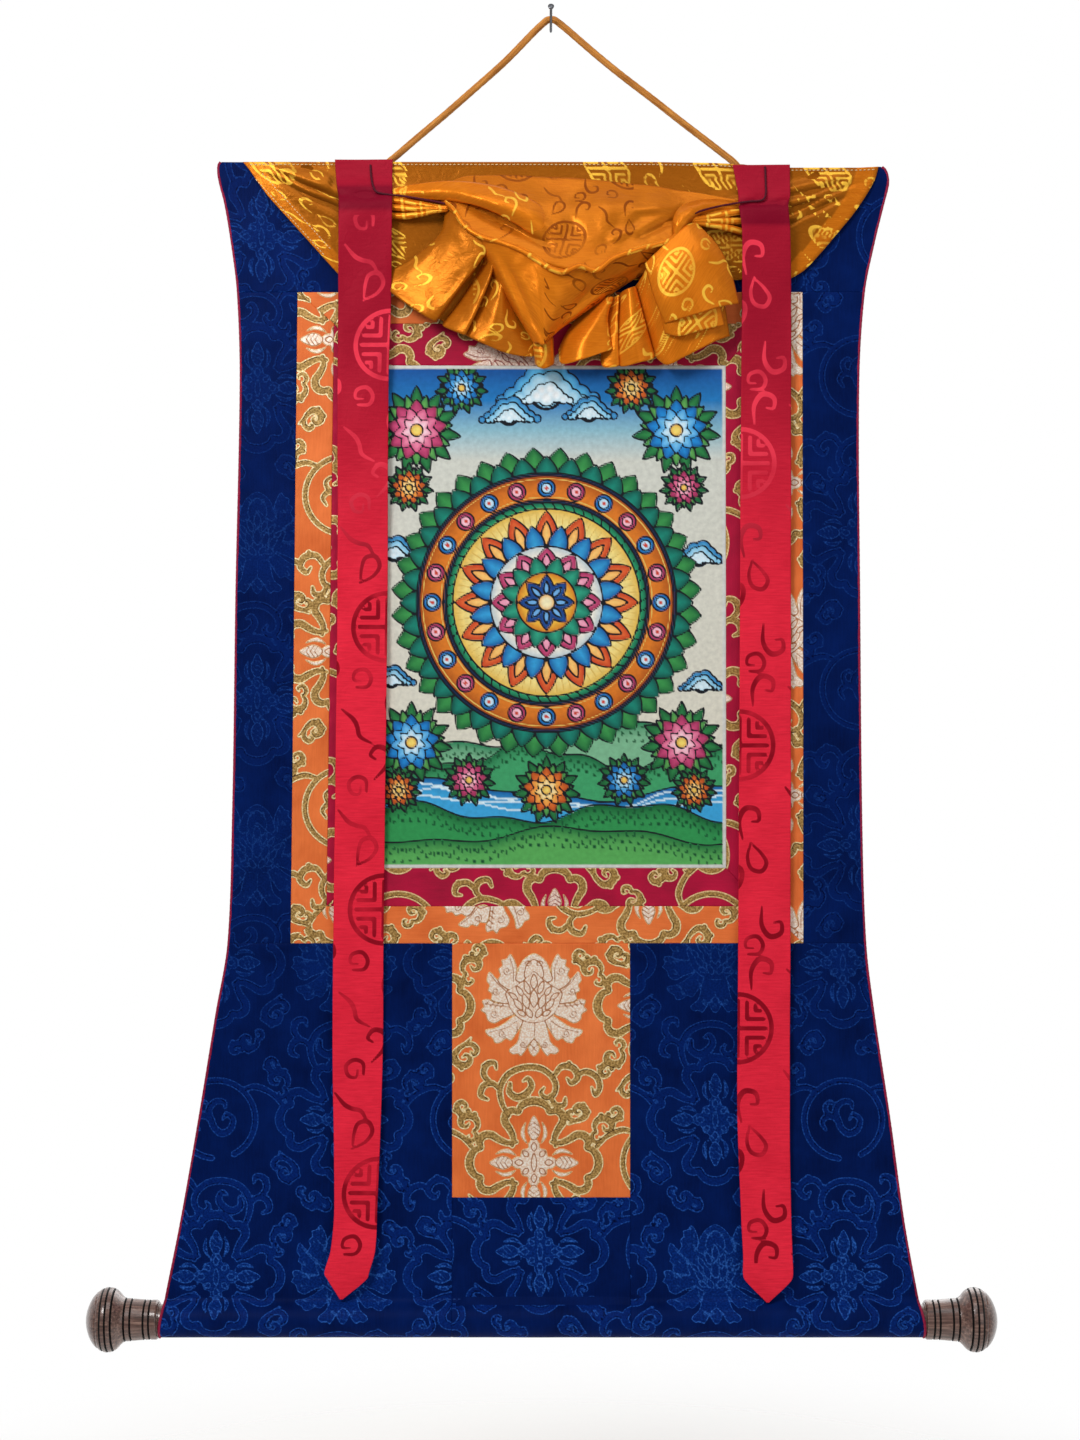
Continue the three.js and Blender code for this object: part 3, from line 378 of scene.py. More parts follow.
def directions(line):
    """Which way a line runs at each of its points."""
    run = np.gradient(line, axis=0)
    return run / np.linalg.norm(run, axis=1, keepdims=True)


def evenly(line, step):
    """A line's points taken again at even steps along it."""
    along = distances(line)
    at = np.linspace(0, along[-1], max(2, round(along[-1] / step) + 1))
    return np.stack([np.interp(at, along, column) for column in line.T], axis=1)


def marks(length, step, edge=(0.35, 0.95)):
    """Places along a length at even steps, with closer ones at both edges, as shares of it."""
    count = max(2, round((length - 2 * edge[1]) / step) + 1)
    inner = np.linspace(edge[1], length - edge[1], count)
    return np.concatenate([[0, edge[0]], inner, [length - edge[0], length]]) / length


# Materials


def set_inputs(tree, node, inputs):
    """Sets a node's inputs to values or hex colours, or links them to sockets or to nodes."""
    for name, value in inputs.items():
        if isinstance(value, bpy.types.Node):
            value = next(socket for socket in value.outputs if socket.enabled)
        if isinstance(value, bpy.types.NodeSocket):
            tree.links.new(value, node.inputs[name])
        else:
            node.inputs[name].default_value = linear(value) if isinstance(value, str) else value


def add_node(tree, kind, inputs, **settings):
    """A shader node with its settings and inputs."""
    node = tree.nodes.new("ShaderNode" + kind)
    for name, value in settings.items():
        setattr(node, name, value)
    set_inputs(tree, node, inputs)
    return node


def new_material(name, fields=""):
    """A material, its tree and the sockets of the fields that it reads from its piece."""
    material = bpy.data.materials.new(name)
    material.use_nodes = True
    tree = material.node_tree
    outputs = {"flat": "Vector", "paint": "Color"}
    sockets = [
        add_node(tree, "Attribute", {}, attribute_name=field).outputs[outputs.get(field, "Fac")]
        for field in fields.split()
    ]
    return material, tree, *sockets


def finish_surface(material, looks, height, distance, strength):
    """Hands the looks to the material's shader, with its bump from a height."""
    tree = material.node_tree
    bump = add_node(tree, "Bump", {"Strength": strength, "Distance": distance, "Height": height})
    set_inputs(tree, tree.nodes["Principled BSDF"], {**looks, "Normal": bump})
    return material


def brocade(name, colours, metal):
    """Silk satin ground with a figure of metal-wrapped and floss threads, from the piece's
    own fields of distance in mm. The ground is smooth and the figure stands up. The figure's
    sparkle is partly the metal's reflection and partly painted glints, its ground has painted
    shade in large patches, and the field "lit" fades the figure as painted light."""
    material, tree, flat, vine, side, flower, petal, lit = new_material(
        name, "flat vine side flower petal lit")
    # Slub of the warp, 0.5 mm threads drawn at 1.4 mm because finer ones don't show
    stretch = add_node(tree, "Mapping", {"Vector": flat, "Scale": (700, 60, 1)})
    slub = add_node(tree, "TexNoise", {"Vector": stretch, "Scale": 1.0, "Detail": 2.0})
    blotch, painted_glint_and_bump, breaks = [
        add_node(tree, "TexNoise", {"Vector": flat, "Scale": scale, "Detail": detail})
        for scale, detail in ((28.0, 3.0), (620.0, 1.0), (330.0, 0.0))
    ]
    # The warp's slub is the silk's own tone; the large blotch noise is painted shade, soft patches that stand
    # for the light and shade of gentle folds
    shade = add_node(tree, "Math", {0: slub, 1: 0.45, 2: -0.3}, operation="MULTIPLY_ADD")
    shade = add_node(tree, "Math", {0: blotch, 1: 1.5, 2: shade}, operation="MULTIPLY_ADD")
    ground = {0: shade, 6: colours["ground_dark"], 7: colours["ground"]}
    colour = add_node(tree, "Mix", ground, data_type="RGBA")
    # The figure's pale rim, and a dark line with breaks inside it, on its inner side only
    masks = {}
    for part, field, middle, full, out in (
        ("rim", vine, 0.38, 0.36, 0.62), ("dash", vine, 1.3, 0.16, 0.44),
        ("line", petal, 0.0, 0.22, 0.62), ("outline", flower, 0.15, 0.2, 0.5),
    ):
        away = add_node(tree, "Math", {0: field, 1: middle}, operation="ADD")
        away = add_node(tree, "Math", {0: away}, operation="ABSOLUTE")
        masks[part] = add_node(tree, "MapRange", {"Value": away, "From Min": out, "From Max": full})
    for part, value, out, full in (
        ("vine", vine, 0.2, -0.1), ("side", side, -0.2, 0.3), ("flower", flower, 0.15, -0.15),
        ("painted_glint_and_bump", painted_glint_and_bump, 0.42, 0.62), ("breaks", breaks, 0.4, 0.5),
    ):
        masks[part] = add_node(tree, "MapRange", {"Value": value, "From Min": out, "From Max": full})
    for part, by in (
        ("dash", masks["side"]), ("dash", masks["breaks"]), ("line", masks["flower"]), ("line", lit),
        ("vine", lit), ("flower", lit), ("rim", lit), ("outline", lit),
    ):
        masks[part] = add_node(tree, "Math", {0: masks[part], 1: by}, operation="MULTIPLY")
    # Painted glints: where the fine noise is high, each thread turns to its lighter _lit colour
    for part, fibre in (
        ("vine", "gold"), ("rim", "rim"), ("dash", "dash"), ("flower", "floss"), ("outline", "rim"),
        ("line", "floss_line"),
    ):
        glint = {0: masks["painted_glint_and_bump"], 6: colours[fibre], 7: colours[fibre + "_lit"]}
        glint = add_node(tree, "Mix", glint, data_type="RGBA")
        colour = add_node(tree, "Mix", {0: masks[part], 6: colour, 7: glint}, data_type="RGBA")
    relief = add_node(tree, "Math", {0: masks["vine"], 1: masks["flower"]}, operation="MAXIMUM")
    height = relief
    for value, share in ((masks["line"], -0.6), (masks["rim"], 0.4), (slub, 0.35), (painted_glint_and_bump, 0.3)):
        height = add_node(tree, "Math", {0: value, 1: share, 2: height}, operation="MULTIPLY_ADD")
    return finish_surface(material, {
        "Base Color": colour, "Specular IOR Level": colours["specular"],
        "Metallic": add_node(tree, "Math", {0: relief, 1: metal}, operation="MULTIPLY"),
        "Roughness": add_node(tree, "MapRange", {
            "Value": relief, "To Min": colours["rough"], "To Max": 0.46}),
    }, height, 0.0004, 0.7)


# In these three, each "_lit" colour is a thread under a painted glint
ORANGE = brocade("orange_silk_brocade_gold_thread", {
    "ground": "#F58040", "ground_dark": "#C4521C", "gold": "#92703A", "gold_lit": "#CBA362",
    "rim": "#EBC884", "rim_lit": "#FFF0C4", "dash": "#40280C", "dash_lit": "#5E4018",
    "floss": "#F0D0B6", "floss_lit": "#FFF4E6", "floss_line": "#A86C44", "floss_line_lit": "#BC8058",
    "rough": 0.6, "specular": 0.16}, 0.3)
RED = brocade("red_silk_brocade_gold_thread", {
    "ground": "#BC0C3C", "ground_dark": "#86062A", "gold": "#92703A", "gold_lit": "#C49C5A",
    "rim": "#DDB67C", "rim_lit": "#F6DCA8", "dash": "#4A2814", "dash_lit": "#6A4224",
    "floss": "#E4BCA8", "floss_lit": "#FCE8DA", "floss_line": "#985048", "floss_line_lit": "#AA6860",
    "rough": 0.6, "specular": 0.16}, 0.3)
# The navy is a damask of one colour of silk: its lighter figure, rims and lines are painted sheen, and the
# field "lit" says how far it shows
NAVY = brocade("navy_silk_damask", {
    "ground": "#041E5C", "ground_dark": "#010A30", "gold": "#06246C", "gold_lit": "#0A3288",
    "rim": "#0E3884", "rim_lit": "#2C66C4", "dash": "#010A30", "dash_lit": "#031448",
    "floss": "#06266C", "floss_lit": "#0E3A94", "floss_line": "#144494", "floss_line_lit": "#3A76D0",
    "rough": 0.5, "specular": 0.025}, 0.0)


def damask(name, colours, metal, rough, shine, wrinkle):
    """Thin figured silk: the figure is the same thread with its floats turned, so it shows
    as a lighter or darker sheen. The piece's field "lit" says which, from 0 to 1."""
    material, tree, flat, figure, lit, dark = new_material(name, "flat figure lit dark")
    # Weft of 0.3 mm threads drawn at 1.2 mm because finer ones don't show
    stretch = add_node(tree, "Mapping", {"Vector": flat, "Scale": (70, 800, 1)})
    slub = add_node(tree, "TexNoise", {"Vector": stretch, "Scale": 1.0, "Detail": 2.0})
    blotch = add_node(tree, "TexNoise", {"Vector": flat, "Scale": 22.0, "Detail": 3.0})
    # The large blotch noise is painted shade: where it is low the ground turns darker and the figure fainter.
    # The slub is the weft's own tone
    mask = add_node(tree, "MapRange", {"Value": figure, "From Min": 0.25, "From Max": -0.25})
    seen = add_node(tree, "MapRange", {"Value": blotch, "From Min": 0.36, "From Max": 0.52, "To Min": 0.35})
    mask = add_node(tree, "Math", {0: mask, 1: seen}, operation="MULTIPLY")
    shade = add_node(tree, "Math", {0: slub, 1: 0.9, 2: -0.2}, operation="MULTIPLY_ADD")
    shade = add_node(tree, "Math", {0: blotch, 1: 0.7, 2: shade}, operation="MULTIPLY_ADD")
    ground = {0: shade, 6: colours["ground_dark"], 7: colours["ground"]}
    ground = add_node(tree, "Mix", ground, data_type="RGBA")
    # The field "dark" is painted shade: it turns the ground to the deep colour in the valleys between folds,
    # where the cloth faces down, over the veil's back cloth, over the upper part of the ribbons and where the
    # ties pinch them
    ground = add_node(tree, "Mix", {0: dark, 6: ground, 7: colours["deep"]}, data_type="RGBA")
    floats = {0: lit, 6: colours["figure_dark"], 7: colours["figure_lit"]}
    floats = add_node(tree, "Mix", floats, data_type="RGBA")
    creased = add_node(tree, "TexNoise", {
        "Vector": flat, "Scale": 95.0, "Detail": 3.0, "Roughness": 0.6, "Distortion": 1.2})
    height = add_node(tree, "Math", {0: slub, 1: 0.4, 2: mask}, operation="MULTIPLY_ADD")
    height = add_node(tree, "Math", {0: creased, 1: wrinkle, 2: height}, operation="MULTIPLY_ADD")
    return finish_surface(material, {
        "Base Color": add_node(tree, "Mix", {0: mask, 6: ground, 7: floats}, data_type="RGBA"),
        "Roughness": add_node(tree, "MapRange", {"Value": mask, "To Min": rough, "To Max": rough + 0.14}),
        "Metallic": metal, "Specular IOR Level": shine, "Specular Tint": colours["tint"],
    }, height, 0.00014, 0.6)


# In both, "deep" is the colour of painted shade, and figure_lit and figure_dark are the figure under painted
# light and shade
CRIMSON_SILK = damask("crimson_silk_damask", {
    "ground": "#FC3048", "ground_dark": "#C8182E", "deep": "#7E0624", "tint": "#FFB0B0",
    "figure_lit": "#F23C52", "figure_dark": "#8E0A1E"}, 0.04, 0.5, 0.12, 6.0)
GOLD_SATIN = damask("gold_silk_satin_damask", {
    "ground": "#EE881C", "ground_dark": "#C45C08", "deep": "#84480A", "tint": "#FFB45C",
    "figure_lit": "#FFC644", "figure_dark": "#8A3E06"}, 0.24, 0.31, 0.5, 5.0)


def thread(name, light, dark, along, around):
    """Rolled silk or spun thread: its fibres show as streaks, so many to the metre."""
    material, tree, flat = new_material(name, "flat")
    stretch = add_node(tree, "Mapping", {"Vector": flat, "Scale": (along, around, 1)})
    streaks = add_node(tree, "TexNoise", {"Vector": stretch, "Scale": 1.0, "Detail": 3.0, "Roughness": 0.6})
    spots = add_node(tree, "TexNoise", {"Vector": flat, "Scale": 70.0, "Detail": 4.0})
    blend = add_node(tree, "Math", {0: streaks, 1: 1.6, 2: -0.6}, operation="MULTIPLY_ADD")
    blend = add_node(tree, "Math", {0: spots, 1: 0.6, 2: blend}, operation="MULTIPLY_ADD")
    colour = add_node(tree, "Mix", {0: blend, 6: dark, 7: light}, data_type="RGBA")
    looks = {"Base Color": colour, "Roughness": 0.6, "Specular IOR Level": 0.2}
    return finish_surface(material, looks, streaks, 0.0005, 0.7)


CORD_SILK = thread("rolled_silk_cord", "#E29A44", "#8E4C18", 45.0, 900.0)
TIE_THREAD = thread("maroon_cotton_thread", "#64102A", "#34060F", 900.0, 500.0)
PIPING_SILK = thread("crimson_silk_piping", "#B41F4A", "#6A0E2A", 300.0, 500.0)
SEWING_THREAD = thread("pale_sewing_thread", "#F8E0B0", "#D8A868", 900.0, 500.0)
BLUE_THREAD = thread("blue_sewing_thread", "#1E4C9C", "#0C2C6C", 900.0, 500.0)


def wood(name, shades, rough, scale, varnish):
    """Turned wood with its grain along the roller, stained and rubbed, in three shades from
    dark to light. Grain lines are 0.5 to 2 mm apart."""
    material, tree = new_material(name)
    place = add_node(tree, "TexCoord", {}).outputs["Object"]
    along = add_node(tree, "Mapping", {"Vector": place, "Scale": (14, scale, scale)})
    grain = add_node(tree, "TexNoise", {"Vector": along, "Scale": 1.0, "Detail": 6.0, "Roughness": 0.62})
    across = add_node(tree, "Mapping", {"Vector": place, "Scale": (90, 1400, 1400)})
    pores = add_node(tree, "TexNoise", {"Vector": across, "Scale": 1.0, "Detail": 2.0})
    ramp = add_node(tree, "ValToRGB", {"Fac": grain})
    ramp.color_ramp.elements.new(0.52)
    for stop, position, shade in zip(ramp.color_ramp.elements, (0.34, 0.52, 0.7), shades):
        stop.position = position
        stop.color = linear(shade)
    shine = add_node(tree, "MapRange", {"Value": grain, "To Min": rough + 0.12, "To Max": rough - 0.06})
    looks = {"Base Color": ramp, "Roughness": shine, "Coat Weight": varnish, "Coat Roughness": 0.12}
    return finish_surface(material, looks, pores, 0.00015, 0.5)


WALNUT = wood("stained_walnut", ("#3E2720", "#6A4C42", "#9C7C6E"), 0.3, 520.0, 0.6)
# A near-black colour for the bottoms of the knob's grooves
GROOVE_BLACK = wood("near_black_groove_line", ("#060302", "#0C0705", "#160E0A"), 0.6, 520.0, 0.0)
PALE_WOOD = wood("pale_pine", ("#9C7A50", "#BE9C70", "#D8BE96"), 0.6, 420.0, 0.0)


def nail_steel():
    """Drawn steel wire with a stamped head: dull zinc grey with faint scratches."""
    material, tree = new_material("zinc_plated_steel")
    place = add_node(tree, "TexCoord", {}).outputs["Object"]
    mottle = add_node(tree, "TexNoise", {"Vector": place, "Scale": 900.0, "Detail": 4.0})
    colour = add_node(tree, "Mix", {0: mottle, 6: "#3C3D40", 7: "#808287"}, data_type="RGBA")
    shine = add_node(tree, "MapRange", {"Value": mottle, "To Min": 0.28, "To Max": 0.5})
    looks = {"Base Color": colour, "Metallic": 1.0, "Roughness": shine}
    return finish_surface(material, looks, mottle, 0.0001, 0.4)


def painted_cotton():
    """Mineral colours on primed cotton: matt, with the weave's tooth and dark brushed lines.
    The fields say the colour and the distance to the nearest line in mm."""
    material, tree, flat, paint, ink, gilt = new_material(
        "mineral_paint_on_primed_cotton", "flat paint ink gilt")
    # Canvas threads of 0.6 mm, drawn at 1.3 mm because finer ones don't show
    threads = {"Vector": flat, "Scale": 240.0, "Distortion": 1.0, "Detail": 1.0}
    warp, weft = [
        add_node(tree, "TexWave", threads, bands_direction=direction).outputs["Fac"]
        for direction in ("X", "Y")
    ]
    tooth = add_node(tree, "Math", {0: warp, 1: weft}, operation="MULTIPLY")
    grain = add_node(tree, "TexNoise", {"Vector": flat, "Scale": 260.0, "Detail": 3.0})
    mottled = add_node(tree, "MapRange", {
        "Value": grain, "From Min": 0.25, "From Max": 0.75, "To Min": 0.86, "To Max": 1.08})
    colour = add_node(tree, "VectorMath", {0: paint, "Scale": mottled}, operation="SCALE")
    for field, out, full, shade in ((gilt, 0.7, 0.46, "#E0B95C"), (ink, 0.86, 0.52, "#10131C")):
        mask = add_node(tree, "MapRange", {"Value": field, "From Min": out, "From Max": full})
        colour = add_node(tree, "Mix", {0: mask, 6: colour, 7: shade}, data_type="RGBA")
    height = add_node(tree, "Math", {0: tooth, 1: 0.6, 2: grain}, operation="MULTIPLY_ADD")
    looks = {"Base Color": colour, "Roughness": 0.8, "Specular IOR Level": 0.25}
    return finish_surface(material, looks, height, 0.00012, 0.5)


PAINTED = painted_cotton()
STEEL = nail_steel()

# Meshes


def add_mesh(name, points, faces, material, fields, node=None):
    """An object from table millimetres, with its fields as attributes of its points. It stands
    for a node, where one is given."""
    mesh = bpy.data.meshes.new(name)
    mesh.from_pydata(metres(points).tolist(), [], faces)
    for field, values in fields.items():
        values = np.asarray(values, np.float32)
        kind, key = {1: ("FLOAT", "value"), 2: ("FLOAT_VECTOR", "vector")}[values.ndim]
        if field == "paint":
            kind, key = "FLOAT_COLOR", "color"
        mesh.attributes.new(field, kind, "POINT").data.foreach_set(key, values.ravel())
    mesh.polygons.foreach_set("use_smooth", [True] * len(mesh.polygons))
    mesh.materials.append(material)
    mesh.validate()
    thing = bpy.data.objects.new(name, mesh)
    bpy.context.scene.collection.objects.link(thing)
    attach(thing, "root")
    if node:
        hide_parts(node)
    return thing


def grid_faces(rows, columns, start=0):
    """Squares of a grid of points, which face down cross right."""
    i, j = np.meshgrid(np.arange(rows - 1), np.arange(columns - 1), indexing="ij")
    at = start + i * columns + j
    return np.stack([at, at + columns, at + columns + 1, at + 1], axis=-1).reshape(-1, 4)


BARE_COTTON = "#CFC3A6"


def shell(middle, thickness, margin, fields, coarse=8):
    """Points, faces and fields of a closed sheet about a grid of middle points, which run right
    and down as seen from the front. Its front is fine, its back coarse, and margin, each
    point's distance to the edge, thins it there to a rounded rim."""
    rows, columns = middle.shape[:2]
    back = np.cross(np.gradient(middle, axis=1), np.gradient(middle, axis=0))
    back /= np.linalg.norm(back, axis=2, keepdims=True) + 1e-12
    rim = 1 - np.clip(margin / (0.62 * thickness), 0, 1)
    half = (thickness / 2 * (0.3 + 0.7 * np.sqrt(1 - rim * rim)))[..., None]
    front, rear = middle - back * half, middle + back * half
    row_marks = np.unique(np.append(np.arange(0, rows - 1, coarse), rows - 1))
    column_marks = np.unique(np.append(np.arange(0, columns - 1, coarse), columns - 1))
    kept = np.zeros((rows, columns), bool)
    kept[np.ix_(row_marks, column_marks)] = True
    kept[[0, -1], :] = True
    kept[:, [0, -1]] = True
    place = np.full((rows, columns), -1)
    place[kept] = rows * columns + np.arange(kept.sum())
    faces = grid_faces(rows, columns).tolist()
    for top, bottom in zip(row_marks, row_marks[1:]):
        for left, right in zip(column_marks, column_marks[1:]):
            walk = [(top, j) for j in (range(left, right) if top == 0 else (left,))]
            walk += [(i, right) for i in (range(top, bottom) if right == columns - 1 else (top,))]
            walk += [(bottom, j) for j in (range(right, left, -1) if bottom == rows - 1 else (right,))]
            walk += [(i, left) for i in (range(bottom, top, -1) if left == 0 else (bottom,))]
            faces.append([int(place[at]) for at in walk])
    ring = [(0, j) for j in range(columns - 1)] + [(i, columns - 1) for i in range(rows - 1)]
    ring += [(rows - 1, j) for j in range(columns - 1, 0, -1)] + [(i, 0) for i in range(rows - 1, 0, -1)]
    for a, b in zip(ring, ring[1:] + ring[:1]):
        faces.append([a[0] * columns + a[1], b[0] * columns + b[1], int(place[b]), int(place[a])])
    points = np.vstack([front.reshape(-1, 3), rear[kept]])
    told = {}
    for field, values in fields.items():
        width = values.shape[2:]
        rest = values[kept] if field in ("flat", "lit", "dark") else np.full((kept.sum(), *width), FAR)
        if field == "paint":
            rest = np.tile(linear(BARE_COTTON), (kept.sum(), 1))
        told[field] = np.concatenate([values.reshape(-1, *width), rest])
    return points, faces, told


def cloth(node, shells, material, name=None):
    """One object from closed sheets, which stands for a node."""
    name = name or f"{node}_cloth"
    points, faces, start = [], [], 0
    for part_points, part_faces, _ in shells:
        points.append(part_points)
        faces += [[start + k for k in face] for face in part_faces]
        start += len(part_points)
    fields = {field: np.concatenate([told[field] for _, _, told in shells]) for field in shells[0][2]}
    points = np.concatenate(points)
    if "ribbon" not in name:
        points = raised(points)
    return add_mesh(name, points, faces, material, fields, node)


def flat_field(u, v):
    """Flat cloth coordinates in metres, for weaves."""
    return np.stack([u / 1000, v / 1000, np.zeros_like(u)], axis=-1)


def ring_faces(rings, sides, start=0):
    """Faces of a closed tube of rings of points, with both its ends."""
    i, j = np.meshgrid(np.arange(rings - 1), np.arange(sides), indexing="ij")
    k = (j + 1) % sides
    at = start + i * sides
    faces = np.stack([at + j, at + k, at + sides + k, at + sides + j], axis=-1).reshape(-1, 4).tolist()
    last = start + (rings - 1) * sides
    return faces + [list(range(start + sides - 1, start - 1, -1)), list(range(last, last + sides))]


def tube(name, path, radius, sides, material, node):
    """A round thing along a path in table mm. radius(along, angle) is in mm."""
    path = np.asarray(path, float)
    run = directions(path)
    side = np.zeros_like(path)
    start = np.cross(run[0], (0.31, 0.87, 0.39))
    side[0] = start / np.linalg.norm(start)
    for k in range(1, len(path)):
        square = side[k - 1] - run[k] * np.dot(side[k - 1], run[k])
        side[k] = square / np.linalg.norm(square)
    other = np.cross(run, side)
    far, around = np.meshgrid(distances(path), np.arange(sides) / sides * 2 * np.pi, indexing="ij")
    ring = side[:, None] * np.cos(around)[..., None] + other[:, None] * np.sin(around)[..., None]
    points = path[:, None] + ring * radius(far, around)[..., None]
    fields = {"flat": flat_field(far, around / (2 * np.pi) * 16).reshape(-1, 3)}
    faces = ring_faces(len(path), sides)
    return add_mesh(name, points.reshape(-1, 3), faces, material, fields, node)


# Camera: level, square to the wall, and centred on the photograph's frame

camera_data = bpy.data.cameras.new("camera")
camera_data.sensor_width = 36
camera_data.lens = 59.4
camera = bpy.data.objects.new("camera", camera_data)
camera.location = metres(CAMERA_AT)
camera.rotation_euler = (math.pi / 2, 0, 0)
bpy.context.scene.collection.objects.link(camera)
bpy.context.scene.camera = camera

# Cords


def lay_cord(node, route, diameter, sides, step, material, lumps):
    """A tube along its route."""
    line = evenly(spline(np.array(route) * 1000 - (0, 0, LIFT)), step)

    def radius(along, angle):
        wave = np.sin(3 * angle + along * lumps[1]) + 0.5 * np.sin(along * 0.9 + 2 * angle)
        return diameter / 2 * (1 + lumps[0] * wave)

    thing = tube(f"{node}_cloth", line, radius, sides, material, node)


lay_cord("hanging_cord", HANGING_CORD_ROUTE, 5.6, 24, 1.0, CORD_SILK, (0.035, 0.1))
for node, route in (("tie_left", TIE_LEFT_ROUTE), ("tie_right", TIE_RIGHT_ROUTE)):
    lay_cord(node, route, 1.6, 12, 0.8, TIE_THREAD, (0.06, 2.6))

# The brocade's repeat: distances in mm to a lotus, a lobed frame with a cross flower, a rope
# ring and cloud scrolls, drawn once on a small grid and read from there by every panel

CELL = 0.5


def stroke_distance(line, x, y):
    """Distance to the rim of a stroke of x, y and half-width, and the side of it."""
    best = np.full(x.shape, FAR)
    side = np.zeros(x.shape)
    for (ax, ay, ar), (bx, by, br) in zip(line, line[1:]):
        dx, dy = bx - ax, by - ay
        long = math.hypot(dx, dy) + 1e-9
        t = np.clip(((x - ax) * dx + (y - ay) * dy) / long ** 2, 0, 1)
        px, py = x - ax - t * dx, y - ay - t * dy
        away = np.hypot(px, py) - ar - t * (br - ar)
        nearer = away < best
        best = np.where(nearer, away, best)
        side = np.where(nearer, (dx * py - dy * px) / long, side)
    return best, side


def shape_distance(outline, x, y):
    """Distance to a closed outline, negative inside."""
    best = np.full(x.shape, 1e6)
    inside = np.zeros(x.shape, bool)
    for (ax, ay), (bx, by) in zip(outline, np.roll(outline, -1, axis=0)):
        dx, dy = bx - ax, by - ay
        t = np.clip(((x - ax) * dx + (y - ay) * dy) / (dx * dx + dy * dy + 1e-12), 0, 1)
        best = np.minimum(best, (x - ax - t * dx) ** 2 + (y - ay - t * dy) ** 2)
        crosses = (ay > y) != (by > y)
        at = ax + (y - ay) * dx / (dy if abs(dy) > 1e-9 else 1e-9)
        inside ^= crosses & (x < at)
    best = np.sqrt(best)
    return np.where(inside, -best, best)


def turned(points, degrees=0, mirror=False, scale=(1, 1), at=(0, 0)):
    """Points of a motif turned, mirrored, scaled and moved to their place."""
    points = np.array(points, float)
    if mirror:
        points[:, 0] *= -1
    angle = math.radians(degrees)
    x = points[:, 0] * math.cos(angle) - points[:, 1] * math.sin(angle)
    y = points[:, 0] * math.sin(angle) + points[:, 1] * math.cos(angle)
    points[:, 0] = x * scale[0] + at[0]
    points[:, 1] = y * scale[1] + at[1]
    return points


class Repeat:
    """One repeat of a woven pattern, as fields of distance that its pieces read."""

    def __init__(self, wide, high, names):
        self.columns, self.rows = round(wide / CELL), round(high / CELL)
        self.fields = {name: np.full((self.rows, self.columns), FAR) for name in names.split()}

    def cells(self, points):
        """The cells round some points: their index and their x and y."""
        low = np.floor((points.min(0)[:2] - FAR) / CELL).astype(int)
        up = np.ceil((points.max(0)[:2] + FAR) / CELL).astype(int)
        columns, rows = np.arange(low[0], up[0] + 1), np.arange(low[1], up[1] + 1)
        x, y = np.meshgrid(columns * CELL, rows * CELL)
        return np.ix_(rows % self.rows, columns % self.columns), x, y

    def stroke(self, points, smooth=True):
        """A stroke of x, y and half-width, with which side of it a place lies on."""
        line = spline(points) if smooth else np.array(points, float)
        where, x, y = self.cells(line)
        away, side = stroke_distance(line, x, y)
        nearer = away < self.fields["vine"][where]
        self.fields["vine"][where] = np.where(nearer, away, self.fields["vine"][where])
        if "side" in self.fields:
            self.fields["side"][where] = np.where(nearer, side, self.fields["side"][where])

    def petal(self, points, sign, outer=True):
        """A closed shape laid over the flower so far. Its outline shows where the petal field
        changes its sign, so shapes that overlap take opposite signs."""
        outline = spline(points, True, 6)
        where, x, y = self.cells(outline)
        away = shape_distance(outline, x, y)
        if outer:
            self.fields["flower"][where] = np.minimum(self.fields["flower"][where], away)
        old = self.fields["petal"][where]
        rest = np.where(old < 0, -1, 1) * np.minimum(np.abs(old), np.abs(away))
        self.fields["petal"][where] = np.where(away < 0, sign * -away, rest)

    def curl(self, points, smooth=True):
        """A fine line over the flowers."""
        line = spline(points) if smooth else np.array(points, float)
        where, x, y = self.cells(line)
        away, _ = stroke_distance(np.column_stack([line[:, :2], np.zeros(len(line))]), x, y)
        old = self.fields["petal"][where]
        self.fields["petal"][where] = np.where(old < 0, -1, 1) * np.minimum(np.abs(old), away)

    def read(self, name, x, y):
        """A field at places in mm."""
        grid = self.fields[name]
        across, up = x / CELL, y / CELL
        i, j = np.floor(up).astype(int), np.floor(across).astype(int)
        fy, fx = up - i, across - j
        i0, i1 = i % self.rows, (i + 1) % self.rows
        j0, j1 = j % self.columns, (j + 1) % self.columns
        return lerp(lerp(grid[i0, j0], grid[i0, j1], fx), lerp(grid[i1, j0], grid[i1, j1], fx), fy)


silk = Repeat(204, 250, "vine side flower petal")


def leaf(x, y, length, width, degrees):
    """A slim pointed leaf about a middle."""
    shape = [(0, -length / 2), (width / 2, -length / 6), (width / 2.2, length / 6), (0, length / 2),
             (-width / 2.2, length / 6), (-width / 2, -length / 6)]
    return turned(shape, degrees, at=(x, y))


def spiral(x, y, size, degrees, hand):
    """A curl that winds in from its tail."""
    t = np.linspace(0, 1, 22)
    angle = math.radians(degrees) + hand * 8.4 * t
    reach = size * (1 - 0.8 * t)
    return np.column_stack([x + reach * np.cos(angle), y + reach * np.sin(angle)])


